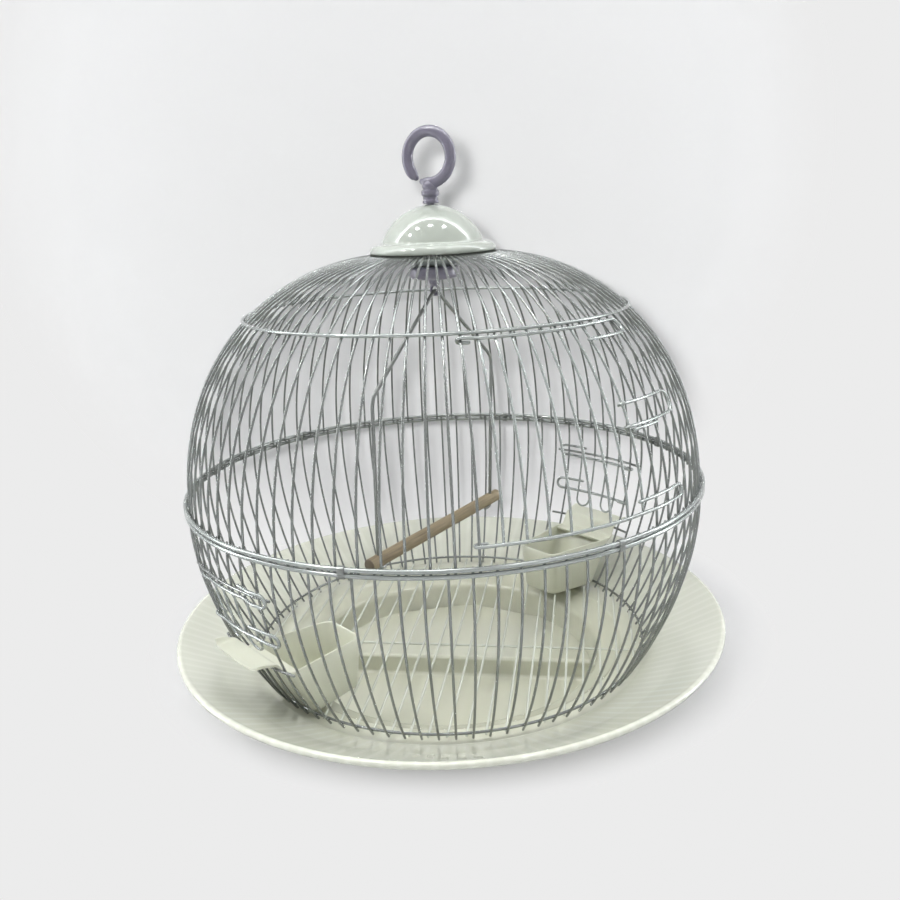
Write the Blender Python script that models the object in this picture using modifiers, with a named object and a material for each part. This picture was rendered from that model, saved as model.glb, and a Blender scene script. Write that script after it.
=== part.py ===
"""Round wire bird cage on a moulded tray, with a hinged main door, two feeder doors and a swing.

Metres, +Z up. The origin is on the floor under the middle of the tray, and the front is -Y.
Azimuths are degrees about +Z from +X, so the front is at 270. Heights on the wire body are
counted from the seam between its two halves, which is SEAM_HEIGHT above the floor.
"""
import math

import bmesh
import bpy
import numpy as np
from mathutils import Matrix, Vector

# Wire diameters
RIB_WIRE = 0.0016
RIM_WIRE = 0.0028
BAND_WIRE = 0.0021
FLOOR_RING_WIRE = 0.0022
FLOOR_RING_OUT = 0.00036
FLOOR_RING_DOWN = 0.00055
FLOOR_WIRE = 0.0016
FRAME_WIRE = 0.0018
DOOR_WIRE = 0.0021
SWING_WIRE = 0.0025

# Clearances
SEAT_GAP = 0.0003
HINGE_PLAY = 0.0006
WELD_SHARE = 0.6

# Wire body
SEAM_HEIGHT = 0.164
SEAM_GAP = 0.0005
BODY_RADIUS = 0.175
RIB_COUNT = 84
RIB_TAIL = 0.0015
FIRST_UPPER_RIB = 275.5
FIRST_LOWER_RIB = 274.2
UPPER_SHOULDER = 0.0885
CROWN_RADIUS = 0.0285
CROWN_HEIGHT = 0.1522
CROWN_RUN = 0.0830
UPPER_STEPS = 6
LOWER_BELLY = 0.0055
LOWER_BELLY_DROP = 0.0400
FOOT_INSET = 0.0390
FOOT_DEPTH = 0.1214
FOOT_RUN = 0.0188
FOOT_RISE = 0.0266
LOWER_STEPS = 3
BAND_HEIGHT = 0.1154

# Crown washer that holds the inner ends of the upper ribs
WASHER_INNER = 0.0220
WASHER_OUTER = 0.0300
WASHER_THICK = 0.0026

# Main door: eight ribs between the hinge rib and the next whole rib
DOOR_RIBS = 8
DOOR_TOP = 0.1129
DOOR_TOP_RETURN = 0.1058
DOOR_BOTTOM = 0.0130
DOOR_BOTTOM_RETURN = 0.0203
DOOR_BEND_PAST = 12.0
DOOR_RETURN_BACK = 1.5
DOOR_RIB_END = 0.0010
DOOR_HEAD_GAP = 0.0010
HOOK_TAIL = 0.0042

# Sprung hairpin latch on the last rib of the main door
LATCH_WIRE = 0.0019
LATCH_UPPER = 0.0725
LATCH_LOWER = 0.0605
LATCH_BEND_PAST = 14.0

# Feeder openings and their doors, four ribs each, straight opposite each other
FRONT_FEEDER_FIRST = 15
FEEDER_RIBS = 4
LINTEL_DEPTH = 0.0250
SILL_DEPTH = 0.0770
FRAME_PAST = 3.4
FEEDER_TOP = 0.0289
FEEDER_TOP_RETURN = 0.0212
FEEDER_BOTTOM = 0.0564
FEEDER_BOTTOM_RETURN = 0.0485
FEEDER_BEND_PAST = 1.9
FEEDER_RETURN_BACK = 5.0
FEEDER_RIB_TOP = 0.0276
FEEDER_RIB_END = 0.0620

# Feeder cups
CUP_INNER_END = 0.0915
CUP_HEIGHT = 0.0350
CUP_WALL = 0.0015
CUP_INNER_WIDTH = 0.0360
CUP_OUTER_WIDTH = 0.0540
CUP_FLOOR_SHARE = 0.88
CUP_CORNER = 0.0060
CUP_LIP_WIDTH = 0.0520
CUP_LIP_REACH = 0.0130
CUP_LIP_RISE = 0.0015
CUP_LIP_THICK = 0.0015

# Floor grille
GRILLE_PITCH = 0.0113
GRILLE_EDGE = 0.0050
GRILLE_CROSS_OFFSET = 0.0193
TRAY_TURN = -9.5

# Tray
TRAY_RADIUS = 0.1927
TRAY_RIM_RISE = 0.0238
TRAY_BEAD = 0.0050
TRAY_WALL = 0.0018
LEDGE_OUT = 0.0024
LEDGE_IN = 0.0139
LEDGE_DROP = 0.0020
WELL_LIP_IN = 0.0150
WELL_LIP_DROP = 0.0069
WELL_LIP_ROUND = 0.0018
WELL_SLANT = 0.0110
FLOOR_THICK = 0.0030
RAISED_SHARE = 0.50
RISER_OFFSET = 0.0100
TRAY_FACETS = 40

# Clips that hold the rim rings together
CLIP_AZIMUTHS = (21, 68, 130, 180, 250, 303)
CLIP_WIDTH = 0.0040
CLIP_THICK = 0.0005

# Cap, hanging ring, clamp plate and swing nut
CAP_RADIUS = 0.0419
CAP_BEAD = 0.0068
CAP_WALL = 0.0018
DOME_RADIUS = 0.0336
DOME_HEIGHT = 0.0233
STEM_RADIUS = 0.0029
RING_RADIUS = 0.0158
RING_TUBE = 0.0037
RING_TURN = -30.0
RING_START = -110.0
RING_SWEEP = 340.0
RING_STEPS = 18
RING_END = 0.65
RING_ABOVE_DOME = 0.0129
COLLAR_RADIUS = 0.0059
PLATE_RADIUS = 0.0290
PLATE_THICK = 0.0020
PLATE_DISH = 0.0040
NUT_RADIUS = 0.0170
NUT_HEIGHT = 0.0086
NUT_BORE_DEPTH = 0.0050
NUT_NECK = 0.0036
NUT_NECK_LENGTH = 0.0040
EYE_RADIUS = 0.0032
EYE_WIRE = 0.0022

# Swing
SWING_TURN = 51.0
SWING_TILT = 5.0
SWING_LEAN = 3.0
SWING_HALF = 0.0650
SWING_SHOULDER_DROP = 0.0590
SWING_FILLET = 0.0070
SWING_TOP_BEND = 0.0020
PERCH_DROP = 0.1735
PERCH_RADIUS = 0.0045
PERCH_LENGTH = 0.1490
PERCH_SIDES = 14
SWING_FOOT = 0.0060

PITCH = 360.0 / RIB_COUNT


def clear_scene():
    """Remove every object that the file starts with."""
    for thing in list(bpy.data.objects):
        bpy.data.objects.remove(thing, do_unlink=True)


def new_collection(name):
    """A collection linked to the scene."""
    collection = bpy.data.collections.new(name)
    bpy.context.scene.collection.children.link(collection)
    return collection


clear_scene()
CAGE = new_collection("bird_cage")


def principled(name, colour, roughness, metallic=0.0):
    """One Principled material."""
    material = bpy.data.materials.new(name)
    material.use_nodes = True
    shader = material.node_tree.nodes["Principled BSDF"]
    shader.inputs["Base Color"].default_value = (*colour, 1.0)
    shader.inputs["Roughness"].default_value = roughness
    shader.inputs["Metallic"].default_value = metallic
    return material


WIRE_GREY = (0.60, 0.63, 0.61)
LAVENDER = (0.36, 0.35, 0.42)
CREAM = (0.66, 0.66, 0.56)


def finish(thing, name, colour, roughness, metallic=0.0, smooth_angle=40.0):
    """Name a piece, give it its own material and move it into the cage's collection."""
    thing.name = name
    thing.data.name = name
    thing.data.materials.clear()
    thing.data.materials.append(principled(name, colour, roughness, metallic))
    for holder in list(thing.users_collection):
        holder.objects.unlink(thing)
    CAGE.objects.link(thing)
    if thing.type == "MESH":
        thing.data.shade_smooth()
        thing.data.set_sharp_from_angle(angle=math.radians(smooth_angle))
    return thing


def mesh_object(name, shape):
    """An object from a bmesh, linked to the scene."""
    shape.normal_update()
    mesh = bpy.data.meshes.new(name)
    shape.to_mesh(mesh)
    shape.free()
    thing = bpy.data.objects.new(name, mesh)
    bpy.context.scene.collection.objects.link(thing)
    return thing


def baked(thing):
    """The object as a plain mesh object, with its modifiers applied and its end caps welded."""
    bpy.context.view_layer.update()
    evaluated = thing.evaluated_get(bpy.context.evaluated_depsgraph_get())
    mesh = bpy.data.meshes.new_from_object(evaluated)
    shape = bmesh.new()
    shape.from_mesh(mesh)
    bmesh.ops.remove_doubles(shape, verts=shape.verts, dist=0.00001)
    shape.to_mesh(mesh)
    shape.free()
    solid = bpy.data.objects.new(thing.name, mesh)
    solid.matrix_world = thing.matrix_world.copy()
    bpy.context.scene.collection.objects.link(solid)
    bpy.data.objects.remove(thing, do_unlink=True)
    return solid


def tube(points, radius, resolution=0, closed=False, taper=None):
    """A round wire along the points, as a mesh."""
    curve = bpy.data.curves.new("wire", "CURVE")
    curve.dimensions = "3D"
    curve.bevel_depth = radius
    curve.bevel_resolution = resolution
    curve.use_fill_caps = not closed
    spline = curve.splines.new("POLY")
    spline.points.add(len(points) - 1)
    for index, place in enumerate(points):
        spline.points[index].co = (*place, 1.0)
    if taper:
        for index, share in enumerate(taper):
            spline.points[index].radius = share
    spline.use_cyclic_u = closed
    thing = bpy.data.objects.new("wire", curve)
    bpy.context.scene.collection.objects.link(thing)
    return baked(thing)


def joined(things):
    """Several mesh objects as one object of separate shells."""
    shape = bmesh.new()
    for thing in things:
        mesh = thing.data.copy()
        mesh.transform(thing.matrix_world)
        shape.from_mesh(mesh)
        bpy.data.meshes.remove(mesh)
        bpy.data.objects.remove(thing, do_unlink=True)
    return mesh_object("joined", shape)


def combined(thing, other, operation="UNION"):
    """A Boolean of two mesh objects, applied."""
    modifier = thing.modifiers.new("cut", "BOOLEAN")
    modifier.operation = operation
    modifier.solver = "EXACT"
    modifier.object = other
    solid = baked(thing)
    bpy.data.objects.remove(other, do_unlink=True)
    return solid


def turned(profile, segments):
    """A body turned about +Z from points (radius, height) that run down its outer side."""
    shape = bmesh.new()
    corners = [shape.verts.new((radius, 0.0, height)) for radius, height in profile]
    for first, second in zip(corners, corners[1:]):
        shape.edges.new((first, second))
    if profile[0][0] > 0.0:
        shape.edges.new((corners[-1], corners[0]))
    thing = mesh_object("turned", shape)
    screw = thing.modifiers.new("turn", "SCREW")
    screw.axis = "Z"
    screw.steps = segments
    screw.render_steps = segments
    screw.use_merge_vertices = True
    screw.merge_threshold = 0.00005
    screw.use_smooth_shade = True
    return baked(thing)


def block(low, high):
    """A box between two corners."""
    shape = bmesh.new()
    size = Vector(high) - Vector(low)
    centre = (Vector(high) + Vector(low)) / 2
    place = Matrix.Translation(centre) @ Matrix.Diagonal((*size, 1.0))
    bmesh.ops.create_cube(shape, size=1.0, matrix=place)
    return mesh_object("block", shape)


def cone(bottom_radius, top_radius, low, high, segments):
    """An upright cone or cylinder between two heights."""
    shape = bmesh.new()
    place = Matrix.Translation((0.0, 0.0, (low + high) / 2))
    bmesh.ops.create_cone(shape, cap_ends=True, segments=segments, radius1=bottom_radius,
                          radius2=top_radius, depth=high - low, matrix=place)
    return mesh_object("cone", shape)


def polar(radius, azimuth, height):
    """A point of the wire body from its radius, azimuth and height over the seam."""
    angle = math.radians(azimuth)
    return Vector((radius * math.cos(angle), radius * math.sin(angle), SEAM_HEIGHT + height))


def bezier(corners, steps):
    """Points on a cubic Bezier curve at equal steps."""
    share = np.linspace(0.0, 1.0, steps + 1)[:, None]
    first, second, third, last = (np.array(corner) for corner in corners)
    curve = ((1 - share) ** 3 * first + 3 * (1 - share) ** 2 * share * second
             + 3 * (1 - share) * share ** 2 * third + share ** 3 * last)
    return [tuple(point) for point in curve]


def weld_distance(first_wire, second_wire):
    """Distance between the centres of two wires that are welded together."""
    return WELD_SHARE * (first_wire + second_wire) / 2


def rest_distance(first_wire, second_wire):
    """Distance between the centres of two wires that lie on each other."""
    return (first_wire + second_wire) / 2 + SEAT_GAP


RING_FACETS = RIB_COUNT // 2
RING_SAG = BODY_RADIUS * (1 - math.cos(math.pi / RING_FACETS))
RIB_RADIUS = BODY_RADIUS - rest_distance(RIM_WIRE, RIB_WIRE) - RING_SAG
FOOT_RADIUS = BODY_RADIUS - FOOT_INSET

# Each rib is one cubic curve, listed from low to high as (radius, height).
UPPER_LINE = bezier(((RIB_RADIUS, -RIB_TAIL), (RIB_RADIUS, UPPER_SHOULDER),
                     (CROWN_RADIUS + CROWN_RUN, CROWN_HEIGHT), (CROWN_RADIUS, CROWN_HEIGHT)),
                    UPPER_STEPS)
LOWER_LINE = bezier(((FOOT_RADIUS, -FOOT_DEPTH), (FOOT_RADIUS + FOOT_RUN, FOOT_RISE - FOOT_DEPTH),
                     (RIB_RADIUS + LOWER_BELLY, -LOWER_BELLY_DROP), (RIB_RADIUS, RIB_TAIL)),
                    LOWER_STEPS)


def line_at(line, height):
    """Radius, slope along the line and height of a rib at a height."""
    for low, high in zip(line, line[1:]):
        if height <= high[1]:
            break
    share = (height - low[1]) / (high[1] - low[1])
    length = math.hypot(high[0] - low[0], high[1] - low[1])
    along = ((high[0] - low[0]) / length, (high[1] - low[1]) / length)
    return low[0] + share * (high[0] - low[0]), along


def stretch(line, low, high):
    """The part of a rib's line between two heights."""
    inner = [point for point in line if low < point[1] < high]
    return [(line_at(line, low)[0], low)] + inner + [(line_at(line, high)[0], high)]


def rib(line, azimuth):
    """One rib at an azimuth."""
    return tube([polar(radius, azimuth, height) for radius, height in line], RIB_WIRE / 2)


def on_ribs(line, azimuth, height, offset):
    """A point beside a rib, pushed outwards square to the wire."""
    radius, along = line_at(line, height)
    return polar(radius + offset * along[1], azimuth, height - offset * along[0])


def ring(radius, height, wire, phase, facets):
    """A closed wire ring."""
    places = [polar(radius, phase + index * 360.0 / facets, height) for index in range(facets)]
    return tube(places, wire / 2, closed=True)


def upper_azimuth(index):
    """Azimuth of an upper rib, counted from the hinge rib of the main door."""
    return FIRST_UPPER_RIB + index * PITCH


def lower_azimuth(index):
    """Azimuth of a lower rib."""
    return FIRST_LOWER_RIB + index * PITCH


def build_upper_ribs():
    """Ribs of the dome, welded to the crown washer; eight stop over the main door."""
    low = BAND_HEIGHT - DOOR_HEAD_GAP
    over_door = stretch(UPPER_LINE, low, UPPER_LINE[-1][1])
    ribs = []
    for index in range(RIB_COUNT):
        line = over_door if 1 <= index <= DOOR_RIBS else UPPER_LINE
        ribs.append(rib(line, upper_azimuth(index)))
    top = SEAM_HEIGHT + CROWN_HEIGHT + WASHER_THICK / 2
    washer = turned([(WASHER_OUTER, top), (WASHER_OUTER, top - WASHER_THICK),
                     (WASHER_INNER, top - WASHER_THICK), (WASHER_INNER, top)], RING_FACETS)
    washer.data.transform(Matrix.Rotation(math.radians(upper_azimuth(0.5)), 4, "Z"))
    basket = combined(washer, joined(ribs))
    return finish(basket, "upper_ribs", WIRE_GREY, 0.35, 0.6)


def feeder_ribs(side):
    """Numbers of the lower ribs that are cut at a feeder opening, in order of azimuth."""
    first = 1 - FRONT_FEEDER_FIRST + side * RIB_COUNT // 2
    return [first + index for index in range(FEEDER_RIBS)]


def floor_ring_centre():
    """Radius and height over the floor of the floor ring's section, which the ribs stand in."""
    return FOOT_RADIUS + FLOOR_RING_OUT, SEAM_HEIGHT - FOOT_DEPTH - FLOOR_RING_DOWN


def build_lower_ribs():
    """Ribs of the lower half, welded to the floor ring; those under the feeders stop at the sill."""
    cut = {index % RIB_COUNT for side in (0, 1) for index in feeder_ribs(side)}
    under_sill = stretch(LOWER_LINE, LOWER_LINE[0][1], -SILL_DEPTH - SEAT_GAP)
    ribs = []
    for index in range(RIB_COUNT):
        line = under_sill if index in cut else LOWER_LINE
        ribs.append(rib(line, lower_azimuth(index)))
    radius, height = floor_ring_centre()
    half = FLOOR_RING_WIRE / 2
    floor_ring = turned([(radius + half, height + half), (radius + half, height - half),
                         (radius - half, height - half), (radius - half, height + half)], RIB_COUNT)
    floor_ring.data.transform(Matrix.Rotation(math.radians(lower_azimuth(0.5)), 4, "Z"))
    basket = combined(floor_ring, joined(ribs))
    return finish(basket, "lower_ribs", WIRE_GREY, 0.35, 0.6)


def clip_azimuth(facet):
    """Azimuth of the middle of a facet of the rim rings, between an upper and a lower rib."""
    free = (FIRST_UPPER_RIB - FIRST_LOWER_RIB) / 2
    return upper_azimuth(0.5 + facet * RIB_COUNT / RING_FACETS) - free


def build_rim_rings():
    """The two thick rings at the seam and the thin band ring over the main door."""
    height = (RIM_WIRE + SEAM_GAP) / 2
    phase = clip_azimuth(0) + PITCH
    upper = ring(BODY_RADIUS, height, RIM_WIRE, phase, RING_FACETS)
    finish(upper, "upper_rim_ring", WIRE_GREY, 0.3, 0.6)
    lower = ring(BODY_RADIUS, -height, RIM_WIRE, phase, RING_FACETS)
    finish(lower, "lower_rim_ring", WIRE_GREY, 0.3, 0.6)
    offset = rest_distance(RIB_WIRE, BAND_WIRE) + RING_SAG
    place = on_ribs(UPPER_LINE, 0.0, BAND_HEIGHT, offset)
    band = ring(place.x, place.z - SEAM_HEIGHT, BAND_WIRE, upper_azimuth(0), RING_FACETS)
    finish(band, "band_ring", WIRE_GREY, 0.3, 0.6)


def build_clips():
    """Crimped strips round both rim rings, each between an upper and a lower rib."""
    reach = RIM_WIRE / 2 + SEAT_GAP
    tall = RIM_WIRE + SEAM_GAP / 2 + SEAT_GAP
    facet = 360.0 / RING_FACETS
    for number, wanted in enumerate(CLIP_AZIMUTHS, 1):
        azimuth = clip_azimuth(round((wanted - clip_azimuth(0)) / facet))
        path = [(-reach, -tall * 0.25), (-reach, -tall), (reach, -tall), (reach, tall), (-reach, tall),
                (-reach, tall * 0.25)]
        shape = bmesh.new()
        rows = []
        for side in (-CLIP_WIDTH / 2, CLIP_WIDTH / 2):
            rows.append([shape.verts.new((x, side, z)) for x, z in path])
        for index in range(len(path) - 1):
            shape.faces.new((rows[1][index], rows[1][index + 1], rows[0][index + 1], rows[0][index]))
        clip = mesh_object("clip", shape)
        wall = clip.modifiers.new("wall", "SOLIDIFY")
        wall.thickness = CLIP_THICK
        wall.offset = 1.0
        wall.use_even_offset = True
        clip.location = polar(BODY_RADIUS - RING_SAG, azimuth, 0.0)
        clip.rotation_euler = (0.0, 0.0, math.radians(azimuth))
        finish(baked(clip), f"rim_clip_{number}", WIRE_GREY, 0.35, 0.7)


def hinge_frame(line, azimuth, low, high):
    """Two points on a hinge axis through a rib, and the tangent and outward directions there."""
    bottom = polar(line_at(line, low)[0], azimuth, low)
    top = polar(line_at(line, high)[0], azimuth, high)
    axis = (top - bottom).normalized()
    angle = math.radians(azimuth)
    tangent = Vector((-math.sin(angle), math.cos(angle), 0.0))
    return bottom, top, tangent, tangent.cross(axis)


def hook(centre, tangent, outward):
    """A wire hook round a hinge rib, from its inner end to its outer side."""
    radius = (RIB_WIRE + DOOR_WIRE) / 2 + HINGE_PLAY
    places = [centre + HOOK_TAIL * tangent - radius * outward]
    for angle in range(270, 89, -45):
        turn = math.radians(angle)
        places.append(centre + radius * (math.cos(turn) * tangent + math.sin(turn) * outward))
    return places


def hairpin(line, azimuth, first, second, offset):
    """The round bend of a hairpin between two heights, beside the ribs."""
    half = (second - first) / 2
    radius = line_at(line, (first + second) / 2)[0]
    places = []
    for angle in (36, 72, 108, 144):
        turn = math.radians(angle)
        swing = math.degrees(abs(half) * math.sin(turn) / radius)
        height = (first + second) / 2 - half * math.cos(turn)
        places.append(on_ribs(line, azimuth + swing, height, offset))
    return places


def door_wire(line, start, welded, resting, height, back_height, bend, back):
    """A door wire: hook, welded over the door ribs, resting on the next ribs, hairpin, return."""
    weld = weld_distance(RIB_WIRE, DOOR_WIRE)
    rest = rest_distance(RIB_WIRE, DOOR_WIRE)
    places = list(start)
    places += [on_ribs(line, azimuth, height, weld) for azimuth in welded]
    places += [on_ribs(line, azimuth, height, rest) for azimuth in resting]
    places += [on_ribs(line, bend, height, rest)]
    places += hairpin(line, bend, height, back_height, rest)
    places += [on_ribs(line, azimuth, back_height, rest) for azimuth in reversed(resting)]
    places += [on_ribs(line, azimuth, back_height, rest) for azimuth in (welded[-1], back)]
    return tube(places, DOOR_WIRE / 2)


def build_main_door():
    """The main door: two long wires with hooks and hairpins, welded over eight ribs."""
    hinge = upper_azimuth(0)
    bottom, top, tangent, outward = hinge_frame(UPPER_LINE, hinge, DOOR_BOTTOM, DOOR_TOP)
    door_azimuths = [upper_azimuth(index) for index in range(1, DOOR_RIBS + 1)]
    last = door_azimuths[-1]
    resting = [last + PITCH, last + 2 * PITCH]
    bend = last + DOOR_BEND_PAST
    line = stretch(UPPER_LINE, DOOR_BOTTOM - DOOR_RIB_END, DOOR_TOP + DOOR_RIB_END * 0.5)
    ribs = joined([rib(line, azimuth) for azimuth in door_azimuths])
    wires = []
    for centre, height, back_height in ((top, DOOR_TOP, DOOR_TOP_RETURN),
                                        (bottom, DOOR_BOTTOM, DOOR_BOTTOM_RETURN)):
        start = hook(centre, tangent, outward)
        wires.append(door_wire(UPPER_LINE, start, door_azimuths, resting, height, back_height,
                               bend, last - DOOR_RETURN_BACK))
    door = combined(joined(wires), ribs)
    door = finish(door, "main_door", WIRE_GREY, 0.3, 0.6)
    move_origin(door, bottom)


def move_origin(thing, place):
    """Put a piece's origin at a world point without moving its shape."""
    thing.data.transform(Matrix.Translation(-place))
    thing.location = place


def latch_eye(centre, radius, tangent, outward):
    """A wire eye round the last door rib, from its free end to its outer side."""
    places = []
    for angle in range(315, 89, -45):
        turn = math.radians(angle)
        places.append(centre + radius * (math.cos(turn) * tangent + math.sin(turn) * outward))
    return places


def build_latch():
    """The hairpin latch: an eye round the last door rib, two legs over the next ribs and a bend."""
    azimuth = upper_azimuth(DOOR_RIBS)
    low, high, tangent, outward = hinge_frame(UPPER_LINE, azimuth, LATCH_LOWER, LATCH_UPPER)
    radius = (RIB_WIRE + LATCH_WIRE) / 2 + HINGE_PLAY
    rest = rest_distance(RIB_WIRE, LATCH_WIRE)
    after = [azimuth + PITCH, azimuth + 2 * PITCH]
    bend = azimuth + LATCH_BEND_PAST

    places = latch_eye(high, radius, tangent, outward)
    places += [on_ribs(UPPER_LINE, step, LATCH_UPPER, rest) for step in after]
    places += [on_ribs(UPPER_LINE, bend, LATCH_UPPER, rest)]
    places += hairpin(UPPER_LINE, bend, LATCH_UPPER, LATCH_LOWER, rest)
    places += [on_ribs(UPPER_LINE, bend, LATCH_LOWER, rest)]
    places += [on_ribs(UPPER_LINE, step, LATCH_LOWER, rest) for step in reversed(after)]
    places += reversed(latch_eye(low, radius, tangent, outward))
    latch = finish(tube(places, LATCH_WIRE / 2), "door_latch", WIRE_GREY, 0.3, 0.7)
    move_origin(latch, low)


def feeder_azimuths(side):
    """Azimuths of the hinge rib, the cut ribs and the next whole rib of a feeder opening."""
    numbers = feeder_ribs(side)
    cut = [lower_azimuth(number) for number in numbers]
    return cut[0] - PITCH, cut, cut[-1] + PITCH


def build_feeder_frame(side, label):
    """Frame wires of a feeder opening: the lintel with the cut rib ends, and the sill."""
    before, cut, after = feeder_azimuths(side)
    weld = weld_distance(RIB_WIRE, FRAME_WIRE)
    rest = rest_distance(RIB_WIRE, FRAME_WIRE)
    ends = (before - FRAME_PAST, after + FRAME_PAST)
    lintel = [on_ribs(LOWER_LINE, ends[0], -LINTEL_DEPTH, rest),
              on_ribs(LOWER_LINE, before, -LINTEL_DEPTH, rest)]
    lintel += [on_ribs(LOWER_LINE, azimuth, -LINTEL_DEPTH, weld) for azimuth in cut]
    lintel += [on_ribs(LOWER_LINE, after, -LINTEL_DEPTH, rest),
               on_ribs(LOWER_LINE, ends[1], -LINTEL_DEPTH, rest)]
    over = stretch(LOWER_LINE, -LINTEL_DEPTH - FRAME_WIRE / 4, LOWER_LINE[-1][1])
    ribs = joined([rib(over, azimuth) for azimuth in cut])
    frame = combined(tube(lintel, FRAME_WIRE / 2, 0), ribs)
    finish(frame, f"feeder_lintel_{label}", WIRE_GREY, 0.35, 0.6)
    sill = [on_ribs(LOWER_LINE, azimuth, -SILL_DEPTH, rest)
            for azimuth in (ends[0], before, *cut, after, ends[1])]
    finish(tube(sill, FRAME_WIRE / 2, 0), f"feeder_sill_{label}", WIRE_GREY, 0.35, 0.6)


def build_feeder_door(side, label):
    """A feeder door: two hooked wires with hairpins, over ribs bent together in pairs."""
    before, cut, after = feeder_azimuths(side)
    bottom, top, tangent, outward = hinge_frame(LOWER_LINE, before, -FEEDER_BOTTOM, -FEEDER_TOP)
    bend = after + FEEDER_BEND_PAST
    clear = rest_distance(RIB_WIRE, FRAME_WIRE) + rest_distance(FRAME_WIRE, DOOR_WIRE)
    weld = weld_distance(RIB_WIRE, DOOR_WIRE)
    rest = rest_distance(RIB_WIRE, DOOR_WIRE)
    upper = hook(top, tangent, outward)
    upper += [on_ribs(LOWER_LINE, azimuth, -FEEDER_TOP, weld) for azimuth in cut]
    upper += [on_ribs(LOWER_LINE, after, -FEEDER_TOP, clear)]
    upper += hairpin(LOWER_LINE, bend, -FEEDER_TOP, -FEEDER_TOP_RETURN, clear)
    upper += [on_ribs(LOWER_LINE, after, -FEEDER_TOP_RETURN, clear),
              on_ribs(LOWER_LINE, after - FEEDER_RETURN_BACK, -FEEDER_TOP_RETURN, rest)]
    lower = hook(bottom, tangent, outward)
    lower += [on_ribs(LOWER_LINE, azimuth, -FEEDER_BOTTOM, weld) for azimuth in cut]
    lower += [on_ribs(LOWER_LINE, after, -FEEDER_BOTTOM, rest)]
    lower += hairpin(LOWER_LINE, bend, -FEEDER_BOTTOM, -FEEDER_BOTTOM_RETURN, rest)
    lower += [on_ribs(LOWER_LINE, after, -FEEDER_BOTTOM_RETURN, rest),
              on_ribs(LOWER_LINE, after - FEEDER_RETURN_BACK, -FEEDER_BOTTOM_RETURN, rest)]
    wires = joined([tube(upper, DOOR_WIRE / 2), tube(lower, DOOR_WIRE / 2)])
    line = stretch(LOWER_LINE, -FEEDER_RIB_END, -FEEDER_RIB_TOP)
    pairs = []
    for first, second in zip(cut[0::2], cut[1::2]):
        down = [polar(radius, first, height) for radius, height in reversed(line)]
        up = [polar(radius, second, height) for radius, height in line]
        middle = (down[-1] + up[0]) / 2
        aside = up[0] - middle
        drop = (down[-1] - down[-2]).normalized() * aside.length
        turns = [math.radians(angle) for angle in (45, 90, 135)]
        bend = [middle - math.cos(turn) * aside + math.sin(turn) * drop for turn in turns]
        pairs.append(tube(down + bend + up, RIB_WIRE / 2))
    door = combined(wires, joined(pairs))
    door = finish(door, f"feeder_door_{label}", WIRE_GREY, 0.3, 0.6)
    move_origin(door, bottom)


def grille_height():
    """Height of the floor wires over the floor: they lie on the floor ring."""
    return floor_ring_centre()[1] + rest_distance(FLOOR_RING_WIRE, FLOOR_WIRE)


def cup_shell(inner_end, outer_low, outer_high, low, high, inner_width, outer_width, floor_share):
    """A tapered box along +X with rounded upright corners, open sizes given at its rim."""
    shape = bmesh.new()
    floor_inner = inner_end + (1 - floor_share) * inner_width / 2
    rows = []
    for height, near, far, share in ((low, floor_inner, outer_low, floor_share),
                                     (high, inner_end, outer_high, 1.0)):
        rows.append([shape.verts.new((near, -share * inner_width / 2, height)),
                     shape.verts.new((far, -share * outer_width / 2, height)),
                     shape.verts.new((far, share * outer_width / 2, height)),
                     shape.verts.new((near, share * inner_width / 2, height))])
    shape.faces.new(reversed(rows[0]))
    shape.faces.new(rows[1])
    for index in range(4):
        after = (index + 1) % 4
        shape.faces.new((rows[0][index], rows[0][after], rows[1][after], rows[1][index]))
    uprights = [edge for edge in shape.edges if abs(edge.verts[0].co.z - edge.verts[1].co.z) > 0.001]
    bmesh.ops.bevel(shape, geom=uprights, offset=CUP_CORNER, segments=3, affect="EDGES", profile=0.5)
    return mesh_object("cup", shape)


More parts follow.
